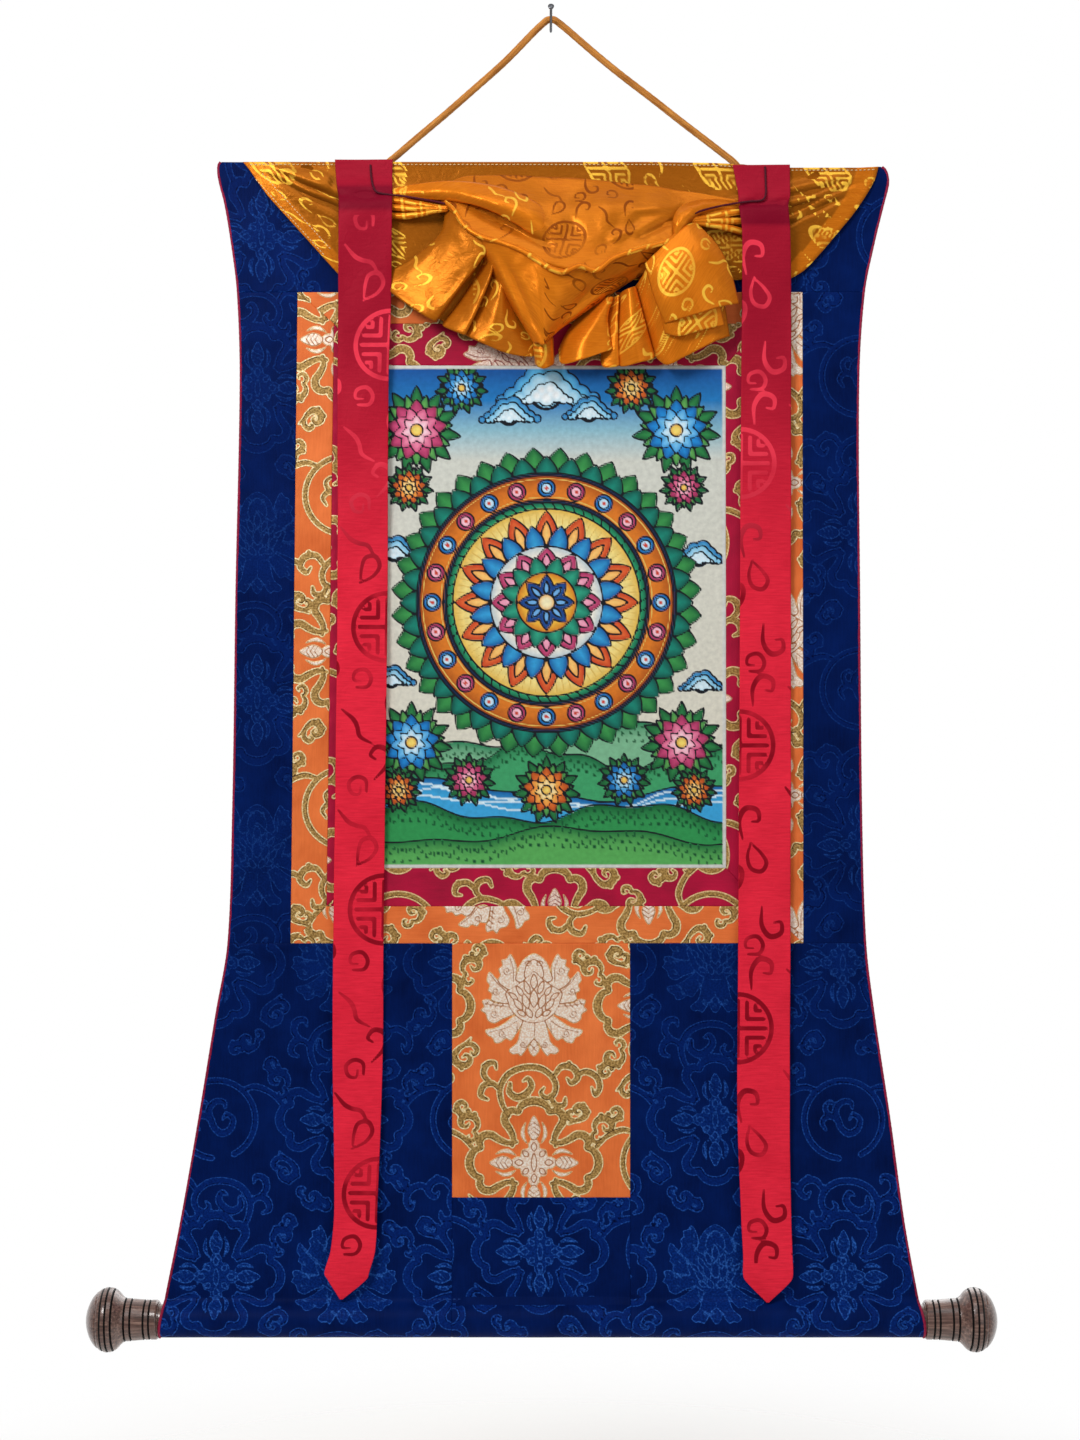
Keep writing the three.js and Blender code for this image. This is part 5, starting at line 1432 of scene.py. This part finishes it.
FRAME_SIDE = table("z left", [
    (INNER_FRAME["top"], INNER_FRAME["top_left"]), (-480, -147),
    (INNER_FRAME["bottom"], INNER_FRAME["bottom_left"]),
])
panel(
    "picture_canvas", frame_side(INNER_FRAME, "left"), frame_side(INNER_FRAME, "right"),
    1.3, PAINTED, "painted_cotton", None, "picture_cloth",
)

# The damask of the veil and the ribbons: fret roundels, curls and drops

figured = Repeat(148, 225, "vine")
ROUNDEL_RADIUS = 27
CURL_SIZE = 1.4
CURL_WEIGHT = 1.35
FRET = [
    [(0, 0, 1.7), (0, 22, 1.7)], [(7.4, 20.6, 1.6), (7.4, 7.4, 1.6), (20.6, 7.4, 1.6)],
    [(14, 18, 1.5), (14, 14, 1.5), (18, 14, 1.5)],
]
CURLS = {
    "drop": [
        (0, -9, 0.7), (4.6, -2, 1), (5, 5, 1.2), (0, 8.6, 1.3), (-4.4, 5, 1.2), (-3.4, -1, 1),
        (-0.6, -7, 0.7),
    ],
    "hook": [(-8, -7, 0.6), (-4.6, 3, 1.3), (2, 7.6, 1.6), (7.4, 3.6, 1.4), (5.4, -2, 1), (1.6, -0.6, 0.7)],
    "wave": [(-10, -8, 0.6), (-6, -1, 1.2), (-0.6, 0.6, 1.3), (4, 3, 1.3), (9.6, 9.6, 0.6)],
    "ring": [
        (-3, -5, 0.8), (3.4, -4.6, 1.1), (5.4, 0.4, 1.2), (2, 5, 1.2), (-3.6, 3.6, 1.1), (-4.4, -1, 0.8),
        (0, -1.6, 0.6),
    ],
}
for centre_x, centre_y in ((0, 0), (74, 112.5)):
    circle = [
        (ROUNDEL_RADIUS * math.cos(a), ROUNDEL_RADIUS * math.sin(a), 1.8)
        for a in np.linspace(0, 2 * np.pi, 49)
    ]
    figured.stroke(turned(circle, at=(centre_x, centre_y)), False)
    for quarter in range(4):
        for line in FRET:
            figured.stroke(turned(line, 90 * quarter, at=(centre_x, centre_y)), False)
    for kind, x, y, degrees, mirror in (
        ("hook", 18, 44, 20, False), ("drop", -16, 46, -30, False), ("wave", -24, 66, 0, True),
        ("ring", 12, 66, 0, False), ("hook", 26, 84, 160, True), ("ring", -22, 98, 90, False),
        ("hook", -6, 118, -60, True), ("drop", 14, 136, 200, False), ("wave", -22, 146, 90, False),
        ("hook", 8, 164, 30, False), ("ring", -20, 184, 0, False),
    ):
        curl = turned(CURLS[kind], degrees, mirror, (CURL_SIZE, CURL_SIZE), (centre_x + x, centre_y + y))
        curl[:, 2] *= CURL_WEIGHT
        figured.stroke(curl)


def lofted(ribs, fine):
    """A grid of points over ribs, which runs right from rib to rib and down along them."""
    ribs = np.array(ribs, float)
    length = np.linalg.norm(np.diff(ribs, axis=1), axis=2).sum(axis=1).max()
    lines = along_spline(ribs.transpose(1, 0, 2), np.linspace(0, ribs.shape[1] - 1, int(length / fine) + 2))
    steps = np.linalg.norm(np.diff(lines, axis=1), axis=2).max(axis=0)
    at = [i + np.arange(n) / n for i, n in enumerate(np.maximum(np.ceil(steps / fine).astype(int), 2))]
    at = np.append(np.concatenate(at), len(ribs) - 1)
    return along_spline(lines.transpose(1, 0, 2), at).transpose(1, 0, 2)


def ridges(rows, x, z):
    """How far the gathers and creases of a table stand out at places."""
    height = np.zeros_like(x)
    for from_x, from_z, to_x, to_z, tall, wide in zip(*rows.values()):
        along = ((x - from_x) * (to_x - from_x) + (z - from_z) * (to_z - from_z)) / (
            (to_x - from_x) ** 2 + (to_z - from_z) ** 2)
        off = np.hypot(x - lerp(from_x, to_x, along), z - lerp(from_z, to_z, along))
        height += ease(along, 0, 0.45) * (1 - ease(along, 0.9, 1.15)) * tall * np.exp(-((off / wide) ** 2))
    return height


def travelled(grid):
    """Distance along a grid's rows and along its columns."""
    across = np.zeros(grid.shape[:2])
    down = np.zeros(grid.shape[:2])
    across[:, 1:] = np.cumsum(np.linalg.norm(np.diff(grid, axis=1), axis=2), axis=1)
    down[1:] = np.cumsum(np.linalg.norm(np.diff(grid, axis=0), axis=2), axis=0)
    return across, down


def damask_fields(across, down, scale, lit, dark):
    return {
        "figure": figured.read("vine", across / scale, -down / scale) * scale,
        "lit": np.broadcast_to(lit, across.shape), "dark": np.broadcast_to(np.minimum(dark, 1), across.shape),
        "flat": flat_field(across, down),
    }


VEIL_SCALE = 0.6


def valleys(reach):
    """How far places lie back behind the folds to their left and right, from 0 to 1."""
    if reach.shape[1] < 30:
        return 0 * reach
    padded = np.pad(reach, ((0, 0), (9, 9)), "edge")
    level = sum(padded[:, k:k + reach.shape[1]] for k in range(19)) / 19
    return np.clip((level - reach) / 4, 0, 1)


def satin(grid, centre, lit, dark=0.0, turn=0.0, creases=None, bare=(0, 0)):
    """A shell of the veil over a grid of x, z and reach, with a roundel about a centre and no
    figure between two x. The grid's x and z are as the camera sees them, so what stands out
    is drawn in towards it. Shade is painted into its field "dark": more where the cloth faces
    down and in the valleys between folds."""
    x, z, reach = np.moveaxis(grid, -1, 0)
    if creases:
        reach = reach + ridges(creases, x, z)
    ripple = np.sin(x / 3.3 + 1.8 * np.sin(z / 8.7 + 1)) * np.sin(z / 6.1 + 1.3 * np.sin(x / 10.3))
    # Painted shade: valleys between folds and cloth that faces down are darkened through the field "dark"
    slope = np.gradient(reach, axis=0) / np.maximum(-np.gradient(z, axis=0), 0.3)
    dark = np.clip(dark + 0.6 * valleys(reach) - 0.25 * np.clip(slope, -1.4, 0.6), 0, 1)
    reach = reach + 0.22 * ripple * ease(reach, 2, 12)
    y = cloth_y(x, z) - BROCADE / 2 - reach
    nearness = (np.minimum(y, SEEN_AT) - CAMERA_AT[1]) / (SEEN_AT - CAMERA_AT[1])
    x, z = lerp(CAMERA_AT[0], x, nearness), lerp(CAMERA_AT[2], z, nearness)
    middle = np.stack([x, y, z], axis=-1)
    across, down = travelled(middle)
    margin = np.minimum.reduce([across, across[:, -1:] - across, down, down[-1:] - down])
    nearest = np.unravel_index(np.argmin((x - centre[0]) ** 2 + (z - centre[1]) ** 2), x.shape)
    u, v = across - across[nearest], down - down[nearest]
    c, s = math.cos(turn), math.sin(turn)
    fields = damask_fields(c * u - s * v, s * u + c * v, VEIL_SCALE, lit, dark)
    fields["figure"] = np.where((x > bare[0]) & (x < bare[1]), FAR, fields["figure"])
    return shell(middle, SILK, margin, fields)


def veil_back_grid():
    """The veil's back cloth with its two wings, as x, z and reach."""
    t, s = np.meshgrid(marks(VEIL_TOP - WING_FOOT, 1.9), marks(480, 2.1), indexing="ij")
    z = lerp(VEIL_TOP, WING_FOOT, t)
    x = lerp(lerp(WING_LEFT_CORNER, WING_LEFT_FOOT, t), through(WING_RIGHT, "z", "right", z), s)
    fall = ease(-z, 124, 150)
    reach = SILK / 2 + GAP + 2 * fall + 0.9 * ridges(GATHERS, x, z) + ridges(CREASES, x, z)
    # The ribbons press it flat at the top
    pressed = ease(-abs(x + 150), -30, -26) + ease(-abs(x - 169), -29, -25)
    room = 1.2 + 1.4 * ease(-z, 124, 134) + 4.4 * ease(-z, 134, 143) + 40 * ease(-z, 145, 152)
    reach = np.minimum(reach, room + 40 * (1 - pressed))
    return np.stack([x, z, np.maximum(reach, SILK / 2 + 0.1)], axis=-1)


veil_back = veil_back_grid()


def hem_distance(x, z):
    """Distance in from the veil's left and right slanting hems."""
    wide, high = WING_LEFT_FOOT - WING_LEFT_CORNER, VEIL_TOP - WING_FOOT
    left = ((x - WING_LEFT_CORNER) * high + (z - VEIL_TOP) * wide) / math.hypot(wide, high)
    return left, (through(WING_RIGHT, "z", "right", z) - x) * 0.72


left_hem, right_hem = hem_distance(veil_back[..., 0], veil_back[..., 1])
# Painted shade over the veil's back cloth, lighter along its two hems
back_painted_shade = 0.8 - 0.35 * (left_hem < 10) - 0.55 * (right_hem < 12) * ease(right_hem, 0, 3)
# The fourth value of each piece is its own share of painted shade
veil_shells = [
    satin(veil_back, (45, -127), 1.0, back_painted_shade, bare=(-115, 25)),
    satin(lofted(LEFT_FAN, 1.35), (-134, -150), 1.0, 0.5, 0.4, None, (-92, -62)),
    satin(lofted(RIGHT_FAN, 1.45), (64, -256), 1.0, 0.1, 0.2, None, (8, 44)),
    satin(lofted(SECOND_LEAF, 1.4), (115, -250), 1.0, 0.15, 0.3),
    satin(lofted(FRONT_LEAF, 1.4), (98, -212), 1.0, 0.05, 0.4),
    satin(lofted(BEAK, 1.4), (-2, -292), 0.0, 0.0, 0.3, POUCH_CREASES, (-80, -6)),
    satin(lofted(TIP_TUBE, 1.4), (-40, -270), 1.0, 0.1),
    satin(lofted(POUCH, 1.5), (10, -186), 0.0, 0.42, 0.0, POUCH_CREASES, (66, 160)),
    satin(lofted(ROLL_LEAF, 1.4), (-132, -141), 1.0, 0.0, 0.5, None, (-100, -50)),
    satin(lofted(UPPER_ROLL, 1.4), (158, -190), 1.0, 0.0, 0.8, None, (0, 200)),
]


def roll_shell(rows):
    """A thin roll of gathered silk as a grid that closes on itself."""
    line = evenly(spline(rows), 1.5)
    turns = np.linspace(0, 2 * np.pi, 15)
    run = directions(line[:, :2])
    angle, along = np.meshgrid(turns, np.arange(len(line)), indexing="ij")
    radius = line[:, 3][None] * (1 + 0.07 * np.sin(along * 0.23 + angle))
    side = np.sin(angle) * radius
    x = line[:, 0][None] - run[:, 1][None] * side
    z = line[:, 1][None] + run[:, 0][None] * side
    reach = line[:, 2][None] - np.cos(angle) * radius
    return np.stack([x, z, reach], axis=-1)


for rows in ROLLS:
    veil_shells.append(satin(roll_shell(rows), (rows[0][0] + 30, rows[0][1]), 1.0, 0.0))
veil = cloth("veil", veil_shells, GOLD_SATIN)


# Ribbons and piping


def ribbon(node, rows, edge, roundel, tied):
    """A streamer of damask whose roundels lie on one edge, pinched at the height it's tied at."""
    top, foot = rows["z"][0], rows["z"][-1]
    t, s = np.meshgrid(marks(top - foot, 1.65), marks(40, 1.5), indexing="ij")
    z = lerp(top, foot, t)
    left, right = through(rows, "z", "left", z), through(rows, "z", "right", z)
    x = lerp(left, right, s)
    wide = right - left
    from_edge = np.minimum(s, 1 - s) * wide
    tuck = np.exp(-(((z + 146) / 5) ** 2))
    y = through(rows, "z", "y", z) + 0.5 * np.sin(z / 37 + 2 * s) + 0.35 * np.sin(z / 13 - 5 * s)
    y -= 0.8 * np.exp(-from_edge / 3) * np.sin(z / 19 + 3 * s) + 1.2 * tuck * np.sin(9 * s)
    margin = np.minimum(from_edge, np.minimum(t, 1 - t) * (top - foot))
    edge_x = {"left": left, "right": right}[edge]
    # Painted light and shade: the figure is lighter on the upper part, and the field "dark" darkens the upper
    # part and the band where the tie pinches the ribbon
    high = ease(z, -470, -330)
    dark = 0.76 * ease(z, -500, -230) + 0.6 * np.exp(-(((z - tied) / 9) ** 4))
    fields = damask_fields(x - edge_x, roundel - z, 1.0, high, dark)
    fields["figure"] = np.where((z > tied - 14) | (z < -995), FAR, fields["figure"])
    sheet = shell(np.stack([x, y, z], axis=-1), SILK, margin, fields)
    thing = cloth(node, [sheet], CRIMSON_SILK)


ribbon("ribbon_left", RIBBON_LEFT, "right", -264.8, -148)
ribbon("ribbon_right", RIBBON_RIGHT, "left", -359.2, -160)


def piping(column, inward):
    """The bound edge down one side and on round the front of the roller."""
    z = np.append(np.arange(-122, SLEEVE_SEAM, -2), SLEEVE_SEAM)
    arc = ROLLER["radius"] + GAP + PIPING_WIDTH / 2
    angle = np.radians(122) + np.linspace(0, 1, 24)[1:] * np.pi * 0.75
    round_z = ROLLER["z"] + arc * np.sin(angle)
    z = np.append(z, round_z)
    x = through(OUTLINE, "z", column, z) + inward * PIPING_WIDTH / 2
    y = cloth_y(x, z)
    y[-len(angle):] = ROLLER["y"] + arc * np.cos(angle)

    def radius(along, around):
        return PIPING_WIDTH / 2 - 0.12 + 0.08 * np.sin(along * 1.3 + around)

    path = raised(np.stack([x, y, z], axis=-1))
    node = f"piping_{column}"
    tube(f"{node}_silk", path, radius, 12, PIPING_SILK, node)


piping("left", 1)
piping("right", -1)


def stitches(name, line, pitch, radius, material):
    """A row of small stitches that lie along a line in table mm."""
    line = evenly(np.array(line, float), pitch)
    run = directions(line)
    side = np.cross(run, (0, 1, 0))
    sides = 6
    turn = np.arange(sides) / sides * 2 * np.pi
    along = np.array([-0.34, -0.2, 0.2, 0.34]) * pitch
    thick = np.array([0.2, 1, 1, 0.2]) * radius
    ring = side[:, None, None] * np.cos(turn)[:, None] + np.array((0, 1, 0)) * np.sin(turn)[:, None]
    points = line[:, None, None] + run[:, None, None] * along[:, None, None] + ring * thick[:, None, None]
    points = points.reshape(-1, 3)
    faces = []
    for start in range(0, len(points), len(along) * sides):
        faces += ring_faces(len(along), sides, start)
    return add_mesh(name, points, faces, material, {"flat": points / 1000})


def on_veil(x, z, out):
    """A point just in front of the veil's back cloth."""
    nearest = np.argmin((veil_back[..., 0] - x) ** 2 + (veil_back[..., 1] - z) ** 2)
    reach = veil_back[..., 2].ravel()[nearest]
    return x, float(cloth_y(x, z)) - BROCADE / 2 - reach - SILK / 2 - out, z


top_row = raised(np.array([on_veil(x, VEIL_TOP - 2.2, 0.15) for x in np.arange(-240, 260, 6.0)]))
stitches("veil_top_stitches", top_row, 3.4, 0.42, SEWING_THREAD)
for name, inset in (("inner", 9.0), ("outer", 2.0)):
    row = [
        on_veil(WING_LEFT_CORNER + 90 * t * 0.9 + inset * 0.74, VEIL_TOP - 100 * t * 0.9 + inset * 0.67, 0.2)
        for t in np.linspace(0.12, 0.78, 24)
    ]
    stitches(f"hem_stitches_{name}", row, 3.0, 0.36, SEWING_THREAD)
sleeve_row = [(x, float(cloth_y(x, SLEEVE_SEAM)) - BROCADE / 2 - 0.05, SLEEVE_SEAM)
              for x in np.arange(-305, 291, 4.0)]
stitches("sleeve_seam_stitches", sleeve_row, 4.0, 0.42, BLUE_THREAD)

# The hard pieces: each from a plain start, drawn out, cut and rounded in edit mode


def new_piece(name):
    """The primitive just added, with its place in its mesh, open in edit mode."""
    piece = bpy.context.object
    piece.name = name
    piece.data.name = name
    bpy.ops.object.transform_apply(location=True, rotation=True, scale=True)
    bpy.ops.object.mode_set(mode="EDIT")
    bpy.ops.mesh.select_mode(type="FACE")
    return piece


def pick_faces(piece, wanted):
    """Selects faces of the piece in edit mode by their middle and their normal."""
    bpy.ops.mesh.select_all(action="DESELECT")
    shape = bmesh.from_edit_mesh(piece.data)
    for face in shape.faces:
        face.select_set(bool(wanted(face.calc_center_median(), face.normal)))
    bmesh.update_edit_mesh(piece.data)


def draw_out(rings, axis, middle):
    """Draws the picked end out along an axis through rings of place and radius, in metres."""
    place, radius = rings[0]
    for next_place, next_radius in rings[1:]:
        step = Vector((0, 0, 0))
        step[axis] = next_place - place
        bpy.ops.mesh.extrude_region_move(TRANSFORM_OT_translate={"value": step})
        share = [next_radius / radius] * 3
        share[axis] = 1
        bpy.ops.transform.resize(value=share, center_override=middle)
        place, radius = next_place, next_radius


def finish_piece(piece, materials, node, bevel, angle=32):
    """Rounds the piece's edges, smooths its sides and hands it to the body."""
    bpy.ops.object.mode_set(mode="OBJECT")
    if bevel:
        rounding = piece.modifiers.new("rounding", "BEVEL")
        rounding.width = bevel
        rounding.segments = 2
        rounding.limit_method = "ANGLE"
        bpy.ops.object.modifier_apply(modifier=rounding.name)
    for material in materials:
        piece.data.materials.append(material)
    bpy.ops.object.shade_smooth_by_angle(angle=math.radians(angle))
    piece.select_set(False)
    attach(piece, "root")
    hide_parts(node)


def cut_grooves(piece, face_x):
    """Near-black lines in the bottoms of the knob's grooves."""
    for polygon in piece.data.polygons:
        along = abs(polygon.center.x - face_x) * 1000
        in_groove = polygon.area < 5e-6 and any(abs(along - groove) < 0.6 for groove in KNOB_GROOVES)
        polygon.material_index = int(in_groove)


def make_knobs():
    """A knob turned on the lathe, and its mirror image for the other end."""
    face = ROLLER["right"] / 1000
    middle = Vector(metres((0, ROLLER["y"], ROLLER["z"])))
    rings = [(face + along / 1000, radius / 1000) for along, radius in KNOB]
    start = rings[0]
    bpy.ops.mesh.primitive_cylinder_add(
        vertices=72, radius=start[1], depth=0.0006, location=(start[0] - 0.0003 + 0.0004, middle.y, middle.z),
        rotation=(0, math.pi / 2, 0))
    knob = new_piece("knob_right_wood")
    pick_faces(knob, lambda centre, normal: normal.x > 0.9)
    draw_out([(start[0] + 0.0004, start[1])] + rings[1:], 0, middle)
    pick_faces(knob, lambda centre, normal: normal.x < -0.9 and centre.x < face)
    socket = SOCKET["radius"] / 1000
    inner = start[0] - 0.0002
    draw_out([(inner, start[1]), (inner, socket), (inner + SOCKET["depth"] / 1000, socket)], 0, middle)
    bpy.ops.mesh.select_all(action="SELECT")
    bpy.ops.mesh.normals_make_consistent(inside=False)
    bpy.ops.object.mode_set(mode="OBJECT")
    other = knob.copy()
    other.data = knob.data.copy()
    other.name = "knob_left_wood"
    bpy.context.scene.collection.objects.link(other)
    cut_grooves(knob, face)
    finish_piece(knob, (WALNUT, GROOVE_BLACK), "knob_right", 0)
    bpy.context.view_layer.objects.active = other
    other.select_set(True)
    bpy.ops.object.mode_set(mode="EDIT")
    bpy.ops.mesh.select_all(action="SELECT")
    between = (ROLLER["left"] + ROLLER["right"]) / 2000
    bpy.ops.transform.resize(value=(-1, 1, 1), center_override=(between, middle.y, middle.z))
    bpy.ops.mesh.normals_make_consistent(inside=False)
    bpy.ops.object.mode_set(mode="OBJECT")
    cut_grooves(other, ROLLER["left"] / 1000)
    finish_piece(other, (WALNUT, GROOVE_BLACK), "knob_left", 0)


def make_roller():
    """A planed dowel whose ends are stained like the knobs and eased to go into them."""
    ends = [(ROLLER["left"] - ROLLER["in_knob"]) / 1000, (ROLLER["right"] + ROLLER["in_knob"]) / 1000]
    middle = Vector(metres(((ROLLER["left"] + ROLLER["right"]) / 2, ROLLER["y"], ROLLER["z"])))
    radius, ease_by, stained = ROLLER["radius"] / 1000, 0.0012, 0.022
    bpy.ops.mesh.primitive_cylinder_add(
        vertices=48, radius=radius, depth=ends[1] - ends[0] - 2 * stained, location=middle,
        rotation=(0, math.pi / 2, 0))
    roller = new_piece("roller_dowel")
    for hand, end in ((-1, ends[0]), (1, ends[1])):
        pick_faces(roller, lambda centre, normal: normal.x * hand > 0.9)
        shoulder = end - hand * ease_by
        rings = [
            (end - hand * stained, radius), (shoulder, radius), (end, radius - ease_by), (end, radius * 0.3),
        ]
        draw_out(rings, 0, middle)
    bpy.ops.object.mode_set(mode="OBJECT")
    for polygon in roller.data.polygons:
        near = min(abs(polygon.center.x - end) for end in ends)
        polygon.material_index = int(near < stained)
    finish_piece(roller, (PALE_WOOD, WALNUT), "roller", 0.0003)


def make_batten():
    """A planed stick with rounded ends and eased edges."""
    tall, thick = BATTEN["height"] / 1000, BATTEN["thickness"] / 1000
    long = (BATTEN["right"] - BATTEN["left"]) / 1000
    middle_x, middle_z = (BATTEN["left"] + BATTEN["right"]) / 2, BATTEN["foot"] + BATTEN["height"] / 2
    middle = metres((middle_x, HEADING_MIDDLE_Y + 3.1, middle_z))
    bpy.ops.mesh.primitive_cube_add(size=1, location=middle, scale=(long, thick, tall))
    batten = new_piece("top_batten_stick")
    for hand in (-1, 1):
        pick_faces(batten, lambda centre, normal: normal.x * hand > 0.9)
        end_middle = Vector((middle[0] + hand * long / 2, middle[1], middle[2]))
        for inset, share in ((0.0012, 0.9), (0.0008, 0.72)):
            bpy.ops.transform.translate(value=(-hand * inset * 0.6, 0, 0))
            bpy.ops.mesh.extrude_region_move(TRANSFORM_OT_translate={"value": (hand * inset, 0, 0)})
            bpy.ops.transform.resize(value=(1, share, share), center_override=end_middle)
    finish_piece(batten, (PALE_WOOD,), "top_batten", 0.0005)


def make_nail():
    """A wire nail: a shank with a drawn point and an upset head with a low dome."""
    head = Vector((0, NAIL["head_y"], NAIL["head_z"])) / 1000
    length, radius, wide = head.length, NAIL["radius"] / 1000, NAIL["head_radius"] / 1000
    bpy.ops.mesh.primitive_cylinder_add(
        vertices=32, radius=radius, depth=length - 0.004, location=(0, 0, length / 2))
    nail = new_piece("wall_nail")
    pick_faces(nail, lambda centre, normal: normal.z > 0.9)
    neck = length - 0.002
    draw_out([
        (neck, radius), (neck + 0.0003, radius * 1.3), (neck + 0.0006, wide * 0.95), (neck + 0.001, wide),
        (neck + 0.0015, wide * 0.96), (neck + 0.0019, wide * 0.7), (neck + 0.002, wide * 0.3),
    ], 2, Vector())
    pick_faces(nail, lambda centre, normal: normal.z < -0.9)
    draw_out([(0.002, radius), (0.0008, radius * 0.8), (0.0002, radius * 0.35)], 2, Vector())
    bpy.ops.object.mode_set(mode="OBJECT")
    nail.rotation_euler = head.to_track_quat("Z", "Y").to_euler()
    bpy.ops.object.transform_apply(location=True, rotation=True, scale=True)
    finish_piece(nail, (STEEL,), "nail", 0, 40)


bpy.ops.object.select_all(action="DESELECT")
make_knobs()
make_roller()
make_batten()
make_nail()

# Stage, light and end


FLOOR_DROP = 1.3
FLOOR_HALF = 1.4


def stage_floor():
    """A pale floor under the scroll that fades out into the surroundings."""
    material, tree = new_material("pale_studio_floor")
    place = add_node(tree, "TexCoord", {}).outputs["Object"]
    centred = add_node(tree, "Mapping", {"Vector": place, "Location": (0, 0, FLOOR_DROP)})
    away = add_node(tree, "VectorMath", {0: centred}, operation="LENGTH").outputs["Value"]
    fade = add_node(tree, "MapRange", {
        "Value": away, "From Min": 0.25, "From Max": 0.9, "To Min": 1.0, "To Max": 0.0,
    }, interpolation_type="SMOOTHSTEP")
    looks = {"Base Color": "#F4F2EE", "Roughness": 0.9, "Alpha": fade}
    set_inputs(tree, tree.nodes["Principled BSDF"], looks)
    points = [(x * FLOOR_HALF, y * FLOOR_HALF, -FLOOR_DROP) for x, y in ((-1, -1), (1, -1), (1, 1), (-1, 1))]
    mesh = bpy.data.meshes.new("floor")
    mesh.from_pydata(points, [], [(0, 1, 2, 3)])
    mesh.materials.append(material)
    floor = bpy.data.objects.new("floor", mesh)
    bpy.context.scene.collection.objects.link(floor)


stage_floor()

for name, place, aim, size, power in (
    ("key", (-0.9, -1.5, 0.5), (0, 0, -0.5), 0.6, 20),
    ("fill", (1.3, -1.6, -0.4), (0, 0, -0.5), 1.4, 5),
    ("top", (0.1, -0.9, 0.9), (0, 0, -0.4), 1.0, 6),
    ("rear", (0.4, 1.6, 0.2), (0, 0, -0.5), 1.6, 14),
):
    lamp = bpy.data.lights.new(name, "AREA")
    lamp.size = size
    lamp.energy = power
    holder = bpy.data.objects.new(name, lamp)
    holder.location = place
    holder.rotation_euler = (Vector(aim) - Vector(place)).to_track_quat("-Z", "Y").to_euler()
    bpy.context.scene.collection.objects.link(holder)

world = bpy.data.worlds.new("pale_studio")
bpy.context.scene.world = world
world.use_nodes = True
sky = world.node_tree
# White behind the scroll as the camera sees it, and dimmer in front, so dark silk stays dark
toward = add_node(sky, "SeparateXYZ", {0: add_node(sky, "TexCoord", {}).outputs["Generated"]})
share = add_node(sky, "MapRange", {
    "Value": toward.outputs["Y"], "From Min": -0.1, "From Max": 0.5, "To Min": 0.3, "To Max": 1.0,
}, interpolation_type="SMOOTHSTEP")
set_inputs(sky, sky.nodes["Background"], {"Color": "#FFFFFF", "Strength": share})
bpy.context.scene.view_settings.view_transform = "Standard"
